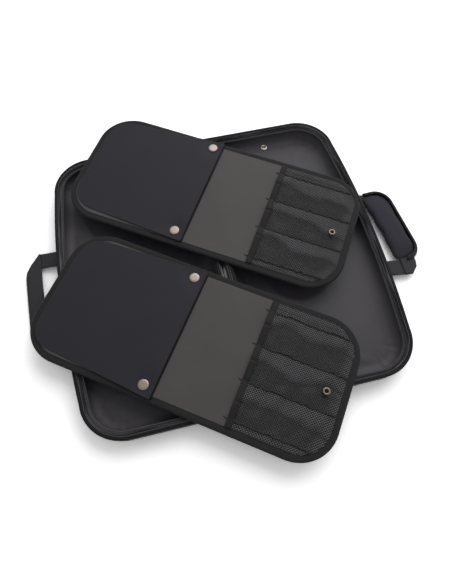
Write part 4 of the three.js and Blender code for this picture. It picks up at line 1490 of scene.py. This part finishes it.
RING_LOW = 9.0 * MM
RING_BOTTOM = 1.4 * MM
SOCKET_FOOT = SHEET_HIGH + FIT
DOME = profile(FLAP_LOW + FLAP_THICK, [
    (0, 0), (3, 0), (6.9, 0), (7.4, 0.25), (7.5, 0.9), (7.4, 1.4), (6.9, 1.8), (6.1, 2.02), (4, 2.1),
    (2, 2.13), (0.4, 2.14), (0, 2.14)])
SOCKET = [(0, SOCKET_FOOT), (4 * MM, SOCKET_FOOT)] + profile(RING_LOW, [
    (4, 1.6), (5.2, 1.7), (5.6, 2.1), (5.3, 2.7), (4.3, 3.2), (3.3, 3.2), (2.7, 2.8), (2.6, 1.4), (0, 1.4)])
LINING_STUD = profile(0, [
    (0, 0), (6.0, 0), (6.3, 0.4), (6.0, 1.0), (5.0, 1.6), (3.6, 1.6), (2.8, 1.2), (2.7, 0.3), (1.2, 0.3),
    (1.1, 2.0), (0.7, 2.3), (0.1, 2.3), (0, 2.3)])
# A thin disc that paints the shade at the bottom of a hollow fastener.
HOLE_SHADE_PROFILE = profile(0, [(0, 0), (2.55, 0), (2.55, 0.2), (0, 0.2)])
print("a cap is", round(2 * max(radius for radius, z in DOME) / MM, 1), "mm wide")

# %% [markdown]
# The caps are warm nickel, the ring sockets a dull bronze and the lining's studs a brighter nickel. One metal
# could do for all of them, but they catch the light differently. A hollow fastener gets a dark disc at its
# bottom, which is painted shade in the hole, because a hole that ends in bright metal would look filled.

# %% Press studs
NICKEL = grained("warm nickel", (0.35, 0.30, 0.265), 0.42, 700.0, contrast=0.08, patchy=0.15, metallic=1.0)
BRIGHT_NICKEL = grained("bright nickel", (0.62, 0.57, 0.52), 0.34, 700.0, contrast=0.08, patchy=0.1,
                        metallic=1.0)
BRONZE = grained("aged bronze", (0.24, 0.20, 0.16), 0.32, 700.0, contrast=0.15, patchy=0.2, metallic=1.0)
RING_SIDES = 64
RING_LOBES = 8
LOBE_DEPTH = 0.09
STUD_BOTTOM = 0.3 * MM


def carry(mesh, middle, height):
    return mesh[0] + np.array([middle.x, middle.y, height]), mesh[1]


def hole_shade_disc(name, middle, height, body):
    """A dark disc at the bottom of a hollow fastener, which is painted shade in the hole."""
    make(name, carry(spun(HOLE_SHADE_PROFILE), middle, height), body, BOARD_FACE)


def board_studs(prefix, flap_body):
    seat = BOARDS[prefix]["seat"]
    for i in (1, 2):
        cap = carry(spun(DOME), middle_of(f"{prefix}_flap_cap_{i}"), seat)
        make(f"{prefix}_cap_{i}", cap, flap_body, NICKEL, [f"{prefix}_flap_cap_{i}"])
    middle = middle_of(f"{prefix}_ring_socket")
    ring = carry(spun(SOCKET, RING_SIDES, RING_LOBES, LOBE_DEPTH), middle, seat)
    make(f"{prefix}_ring", ring, prefix, BRONZE, [f"{prefix}_ring_socket"])
    hole_shade_disc(f"{prefix}_ring_hole_shade", middle, seat + RING_LOW + RING_BOTTOM, prefix)


def lining_stud(side, body):
    node = f"{side}_lining_stud"
    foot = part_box(node)[0].z
    stud = carry(spun(LINING_STUD), middle_of(node), foot)
    make(f"{side}_floor_stud", stud, body, BRIGHT_NICKEL, [node])
    hole_shade_disc(f"{side}_floor_stud_hole_shade", middle_of(node), foot + STUD_BOTTOM, body)


for prefix, body in FLAP_BODIES.items():
    board_studs(prefix, body)
    print(prefix, "studs made")
for side, body in HALVES.items():
    lining_stud(side, body)
    print(side, "lining stud made")

# %% [markdown]
# Small metal parts could all be drawn again. The studs under the flaps and the zip's sliders and pulls have
# the right shape in the frame already, so they keep it, and get only a rounded edge and a metal.

# %% Metal kept from the frame
GUNMETAL = grained("dark metal", (0.11, 0.11, 0.12), 0.35, 900.0, contrast=0.15, metallic=1.0)
METAL_ROUND = 0.25 * MM
KEPT_METAL = {f"{prefix}_stud_{i}": NICKEL for prefix in BOARDS for i in (1, 2)}
for end in ("front", "rear"):
    KEPT_METAL[f"{end}_zip_slider"] = GUNMETAL
    KEPT_METAL[f"{end}_zip_pull"] = GUNMETAL
for node, finish in KEPT_METAL.items():
    kept = frame["nodes"][node]
    kept.data.materials.clear()
    kept.data.materials.append(finish)
    add_edge(kept, METAL_ROUND)
print("kept metal parts:", len(KEPT_METAL))

# %% [markdown]
# ## Handles
# Each handle is a loop of webbing. Two tabs come out from the wall and run under an outer band, and the folds
# between them leave a slanted edge at each corner. A strip could be bent round a curve, but a fold is flat
# and sharp, so the band and its two tabs are cut as flat shapes that overlap. The loop droops from the line
# where it is sewn on, so it is drawn level and then tilted.

# %% Handle frames
HINGE_HEIGHT = 12 * MM
BROAD_FOLD = [(23.5 * MM, 0), (9 * MM, 15 * MM), (2 * MM, 26 * MM), (0, 36 * MM)]
SMALL_FOLD = [(13 * MM, 0), (2 * MM, 11 * MM), (0, 20 * MM)]
HANDLES = {
    "left": {"body": "left_handle", "reach": 51.5 * MM, "droop": 9.5, "roots": (-75 * MM, 76 * MM),
             "ends": (-79 * MM, 75 * MM), "folds": (BROAD_FOLD, BROAD_FOLD)},
    "right": {"body": "right_handle", "reach": 51 * MM, "droop": 5.0, "roots": (-80 * MM, 70 * MM),
              "ends": (-84 * MM, 65 * MM), "folds": (SMALL_FOLD, BROAD_FOLD)},
}


def hinge_x(side):
    joint = next(j for j in frame["joints"] if j["name"] == f"{side}_handle_lift")
    return joint["pos_m"][0]


def in_handle(side, points):
    """From a loop drawn flat, reaching out along X from its hinge, to the frame."""
    points = np.array(points, float)
    droop = math.radians(HANDLES[side]["droop"])
    x = points[:, 0] * math.cos(droop) + points[:, 2] * math.sin(droop)
    z = points[:, 2] * math.cos(droop) - points[:, 0] * math.sin(droop)
    return np.stack([hinge_x(side) + TURN[side] * x, TURN[side] * points[:, 1], HINGE_HEIGHT + z], 1)


for side in HANDLES:
    print(side, "handle is hinged at", round(hinge_x(side), 4))

# %% [markdown]
# The webbing has a slanted rib, and stitches run along both edges of its outer band. A simulated strip could
# be folded, but a stiff fold is hard to hold still. So each part is an outline filled with triangles and
# given a slight wave.

# %% Handle webbing
WEBBING = woven("ribbed webbing", (0.030, 0.029, 0.034), 0.65, 1.6 * MM, angle=38, rib=1.0, contrast=0.9,
                sheen=0.05, specular=0.2)
WEB_WIDTH = 25 * MM
WEB_GRAIN = 3.5 * MM
WEB_WAVE, WEB_WAVE_LENGTH = 0.35 * MM, 55 * MM
LAYER = 1.1 * MM
WEB_SEAM = 2.2 * MM
WEB_SEAM_STEPS = 40
HANDLE_SEEDS = {"left": 71, "right": 79}


def strap(side, corners, height, seed):
    """A flat length of webbing cut to corners, with a slight wave."""
    ring = []
    for i, start in enumerate(corners):
        end = corners[(i + 1) % len(corners)]
        count = max(int(math.dist(start, end) / WEB_GRAIN), 2)
        ring += [start] + [tuple(p) for p in inner_line(start, end, count)]
    flat, faces = filled(np.array(ring), WEB_GRAIN)
    wave = WEB_WAVE * ripple(flat, WEB_WAVE_LENGTH, seed)
    return in_handle(side, at_height(flat, height + wave)), faces


def handle_webbing(side, seed):
    """The outer band, cut at a slant at its corners, over the two tabs that come from the wall."""
    handle = HANDLES[side]
    reach, (low_end, high_end), (low_fold, high_fold) = handle["reach"], handle["ends"], handle["folds"]
    inner = reach - WEB_WIDTH
    band = ([(inner, low_end)] + [(reach - back, low_end + along) for back, along in low_fold]
            + [(reach - back, high_end - along) for back, along in high_fold[::-1]] + [(inner, high_end)])
    parts = [strap(side, band, LAYER / 2, seed)]
    for sign, end, root, fold in zip((-1, 1), handle["ends"], handle["roots"], handle["folds"]):
        under = reach - fold[0][0]
        tab = [(0, root), (under, end), (under, end - sign * WEB_WIDTH), (0, root - sign * WEB_WIDTH)]
        parts.append(strap(side, tab[::-sign], -LAYER / 2, seed + 3 + sign))
    piece = make(f"{side}_handle_loop", join(*parts), handle["body"], WEBBING,
                 [f"{side}_handle_webbing"])
    add_thickness(piece, LAYER, 0.0)
    return piece


def handle_stitches(side):
    handle = HANDLES[side]
    reach, (low_end, high_end), (low_fold, high_fold) = handle["reach"], handle["ends"], handle["folds"]
    ys = np.linspace(low_end + low_fold[-1][1], high_end - high_fold[-1][1], WEB_SEAM_STEPS)
    parts = []
    for out in (WEB_SEAM, WEB_WIDTH - WEB_SEAM):
        path = np.stack([np.full(WEB_SEAM_STEPS, reach - out), ys, np.full(WEB_SEAM_STEPS, LAYER * 1.2)], 1)
        parts.append(stitch_row(in_handle(side, path)))
    return make(f"{side}_handle_stitches", join(*parts), handle["body"], THREAD)


for side, seed in HANDLE_SEEDS.items():
    print(handle_webbing(side, seed).name, handle_stitches(side).name, "made")

# %% [markdown]
# ## Padded grip
# The right handle has a foam sleeve. A rounded block would look like wood. The sleeve starts as a thin slab a
# little smaller than the pad, is remeshed, and is then blown up by a short cloth simulation, which draws its
# sides in and crowns its face as foam under tight cloth does. The cap on how far a point may move keeps it in
# the space that the frame gives it.

# %% Grip outline
GRIP_LENGTH = 130 * MM
GRIP_WIDTH = 48 * MM
GRIP_THICK = 13 * MM
GRIP_MIDDLE = (35 * MM, 5 * MM)
GRIP_TILT = math.radians(6)
GRIP_OUTER = 26 * MM
GRIP_INNER = 12 * MM
GRIP_STEPS = (6, 14, 30, 10, 36)
GRIP_FLARE = 3 * MM
GRIP_GROWTH = 3.2 * MM
GRIP_SHRUNK = 1.5 * MM
GRIP_SECTION = [(0.10, -1), (0.02, -0.75), (0, 0), (0.02, 0.75), (0.10, 1)]


def grip_ring(inset):
    """The sleeve in plan. Its side towards the case flares at its upper end."""
    x, y = GRIP_WIDTH / 2 - inset, GRIP_LENGTH / 2 - inset
    outer, inner = max(GRIP_OUTER - inset, SHARPEST), max(GRIP_INNER - inset, SHARPEST)
    ring = rounded_ring((-x, -y), (x, y), outer, inner, GRIP_STEPS)
    towards_case = np.clip(-ring[:, 0] / x, 0, 1) * np.clip(0.5 + ring[:, 1] / GRIP_LENGTH, 0, 1)
    ring[:, 0] -= GRIP_FLARE * towards_case
    c, s = math.cos(GRIP_TILT), math.sin(GRIP_TILT)
    return ring @ np.array([[c, s], [-s, c]]) + np.array(GRIP_MIDDLE)


def grip_block():
    half = GRIP_THICK / 2 - GRIP_GROWTH
    rows = [in_handle("right", at_height(grip_ring(GRIP_SHRUNK + inward * GRIP_WIDTH), up * half))
            for inward, up in GRIP_SECTION]
    return skin(rows, caps=True)


print("points round the grip:", len(grip_ring(0)))

# %% [markdown]
# Pressure fills a mesh evenly only where its faces are even. Subdividing the slab would leave long faces at
# its corners, so it is remeshed in small voxels. The simulation runs for a few frames, and then each point is
# brought back to within its cap.

# %% Grip
GRIP_CLOTH = woven("grip cloth", (0.022, 0.021, 0.030), 0.7, 0.6 * MM, contrast=0.3, patchy=0.15, sheen=0.1,
                   specular=0.2)
GRIP_VOXEL = 4 * MM
GRIP_PRESSURE = 4.0
BLOWN_FRAMES = 20


def blow_up(piece, pressure, cap):
    """Lets pressure fill a piece as cloth for a few frames, and keeps each point within cap of its start."""
    rest = np.array([v.co for v in piece.data.vertices])
    soft = piece.modifiers.new("cloth", "CLOTH")
    soft.settings.use_pressure = True
    soft.settings.uniform_pressure_force = pressure
    soft.settings.effector_weights.gravity = 0
    soft.settings.quality = 5
    for step in range(1, BLOWN_FRAMES + 1):
        bpy.context.scene.frame_set(step)
    bpy.ops.object.modifier_apply(modifier=soft.name)
    bpy.context.scene.frame_set(1)
    move = np.array([v.co for v in piece.data.vertices]) - rest
    share = np.minimum(1, cap / np.maximum(np.linalg.norm(move, axis=1), 1e-9))
    piece.data.vertices.foreach_set("co", (rest + move * share[:, None]).astype(np.float32).ravel())


def inflate(piece, voxel, pressure, cap):
    """Remeshes a closed piece, blows it up and smooths it."""
    remesh = piece.modifiers.new("remesh", "REMESH")
    remesh.mode = "VOXEL"
    remesh.voxel_size = voxel
    bpy.context.view_layer.objects.active = piece
    piece.select_set(True)
    bpy.ops.object.modifier_apply(modifier=remesh.name)
    blow_up(piece, pressure, cap)
    smooth = piece.modifiers.new("smooth", "SMOOTH")
    smooth.factor = 0.6
    smooth.iterations = 6
    bpy.ops.object.modifier_apply(modifier=smooth.name)
    finer = piece.modifiers.new("finer", "SUBSURF")
    finer.levels = 1
    finer.render_levels = 1
    piece.data.polygons.foreach_set("use_smooth", [True] * len(piece.data.polygons))
    piece.select_set(False)


grip = make("right_grip_cushion", grip_block(), None, GRIP_CLOTH)
inflate(grip, GRIP_VOXEL, GRIP_PRESSURE, GRIP_GROWTH)
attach(grip, "right_handle")
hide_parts("right_grip_pad")
print("grip has", len(grip.data.vertices), "points")

# %% [markdown]
# Tape is folded over the sleeve's outer edge, from its upper end to its lower outer corner. It could be cut
# from the sleeve's own mesh, but the remesh leaves that uneven. The sleeve's outline gives it a clean edge at
# every inset, and its section is a row of [inset, height] pairs.

# %% Grip binding
GRIP_TAPE = 5 * MM
GRIP_TAPE_THICK = 0.8 * MM
GRIP_TAPE_SECTION = [(GRIP_TAPE, 4.9 * MM), (2 * MM, 4.3 * MM), (0.2 * MM, 2.8 * MM), (-1.0 * MM, 0.9 * MM)]
BOUND_POINTS = slice(4, 71)


def grip_binding():
    section = GRIP_TAPE_SECTION + [(inset, -z) for inset, z in GRIP_TAPE_SECTION[::-1]]
    rows = [in_handle("right", at_height(grip_ring(inset)[BOUND_POINTS], z)) for inset, z in section]
    columns = np.stack(rows, axis=1)
    piece = make("right_grip_tape", skin(columns, wrap_columns=False), "right_handle",
                 BINDING_TAPE, ["right_grip_binding"])
    add_thickness(piece, GRIP_TAPE_THICK, 1.0)
    return piece


print(grip_binding().name, "made")

# %% [markdown]
# The handles' ends are sewn to the walls under small patches. A cube would do, but pressed cloth thins
# towards its edge. So each patch is four oblong rings across its thickness, the two outer ones a little
# smaller.

# %% Handle patches
PATCH_ROWS = [(-1, 0.9), (-0.8, 1.0), (0.8, 1.0), (1, 0.9)]
PATCH_CORNERS = [(-1, -1), (1, -1), (1, 1), (-1, 1)]
PATCH_ROUND = 0.4 * MM


def sewn_patch(side, place, body):
    low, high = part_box(f"{side}_handle_patch_{place}")
    middle, half = (low + high) / 2, (high - low) / 2
    rows = []
    for share, drawn in PATCH_ROWS:
        x, reach_y, reach_z = middle.x + share * half.x, half.y * drawn, half.z * drawn
        rows.append(np.array([(x, middle.y + y * reach_y, middle.z + z * reach_z) for y, z in PATCH_CORNERS]))
    piece = make(f"{side}_sewn_patch_{place}", skin(rows, caps=True), body, WEBBING,
                 [f"{side}_handle_patch_{place}"], smooth=False)
    add_edge(piece, PATCH_ROUND)
    return piece


for side, body in HALVES.items():
    for place in ("front", "rear"):
        print(sewn_patch(side, place, body).name, "made")

# %% [markdown]
# ## Floor and light
# The floor is white paper. Stronger lamps could make it white, but they would bleach the case. Instead the
# camera sees the paper brighter than it is for the light that falls on the case, and with a little light of
# its own, so that it reads as white while the case still throws a soft shadow on it.

# %% Floor
FLOOR_SIZE = 6.0
PAPER = 0.80
SEEN_PAPER = 1.65
OWN_LIGHT = 0.02


def paper_material():
    made = bpy.data.materials.new("paper")
    made.use_nodes = True
    tree = made.node_tree
    tree.nodes.clear()
    out = tree.nodes.new("ShaderNodeOutputMaterial")
    matt = tree.nodes.new("ShaderNodeBsdfDiffuse")
    glow = tree.nodes.new("ShaderNodeEmission")
    add = tree.nodes.new("ShaderNodeAddShader")
    path = tree.nodes.new("ShaderNodeLightPath")
    seen = math_node(tree, "MAXIMUM", path.outputs["Is Camera Ray"], path.outputs["Is Glossy Ray"])
    seen = math_node(tree, "MAXIMUM", seen, path.outputs["Is Transmission Ray"])
    shade = math_node(tree, "ADD", math_node(tree, "MULTIPLY", seen, SEEN_PAPER - PAPER), PAPER)
    tree.links.new(shade, matt.inputs["Color"])
    tree.links.new(math_node(tree, "MULTIPLY", seen, OWN_LIGHT), glow.inputs["Strength"])
    tree.links.new(matt.outputs[0], add.inputs[0])
    tree.links.new(glow.outputs[0], add.inputs[1])
    tree.links.new(add.outputs[0], out.inputs["Surface"])
    return made


def floor():
    half = FLOOR_SIZE / 2
    corners = [(-half, -half, 0), (half, -half, 0), (half, half, 0), (-half, half, 0)]
    data = bpy.data.meshes.new("floor")
    data.from_pydata(corners, [], [(0, 1, 2, 3)])
    data.materials.append(paper_material())
    piece = bpy.data.objects.new("floor", data)
    bpy.context.scene.collection.objects.link(piece)


floor()
print("floor made,", FLOOR_SIZE, "m wide")

# %% [markdown]
# The light is one broad panel, high on the far right, in an even white surround. A row of small lamps would
# put a hard spark on every fold. A panel as broad as this gives long soft sheens, which is how black cloth
# shows its form.

# %% Lights
PANEL_PLACE = (1.15, 1.25, 1.5)
PANEL_SIZE = 2.5
PANEL_POWER = 36
SURROUND = 0.48
CASE_MIDDLE = (SPINE_X, 0, RIM)


def panel_light(name, place, aim, size, power):
    data = bpy.data.lights.new(name, "AREA")
    data.shape = "SQUARE"
    data.size = size
    data.energy = power
    lamp = bpy.data.objects.new(name, data)
    lamp.location = place
    lamp.rotation_euler = (Vector(aim) - Vector(place)).to_track_quat("-Z", "Y").to_euler()
    bpy.context.scene.collection.objects.link(lamp)


panel_light("main panel", PANEL_PLACE, CASE_MIDDLE, PANEL_SIZE, PANEL_POWER)
world = bpy.data.worlds.new("studio")
world.use_nodes = True
world.node_tree.nodes["Background"].inputs["Color"].default_value = (1, 1, 1, 1)
world.node_tree.nodes["Background"].inputs["Strength"].default_value = SURROUND
bpy.context.scene.world = world
bpy.context.scene.view_settings.view_transform = "Standard"
print("lights:", len(bpy.data.lights), "materials:", len(bpy.data.materials))
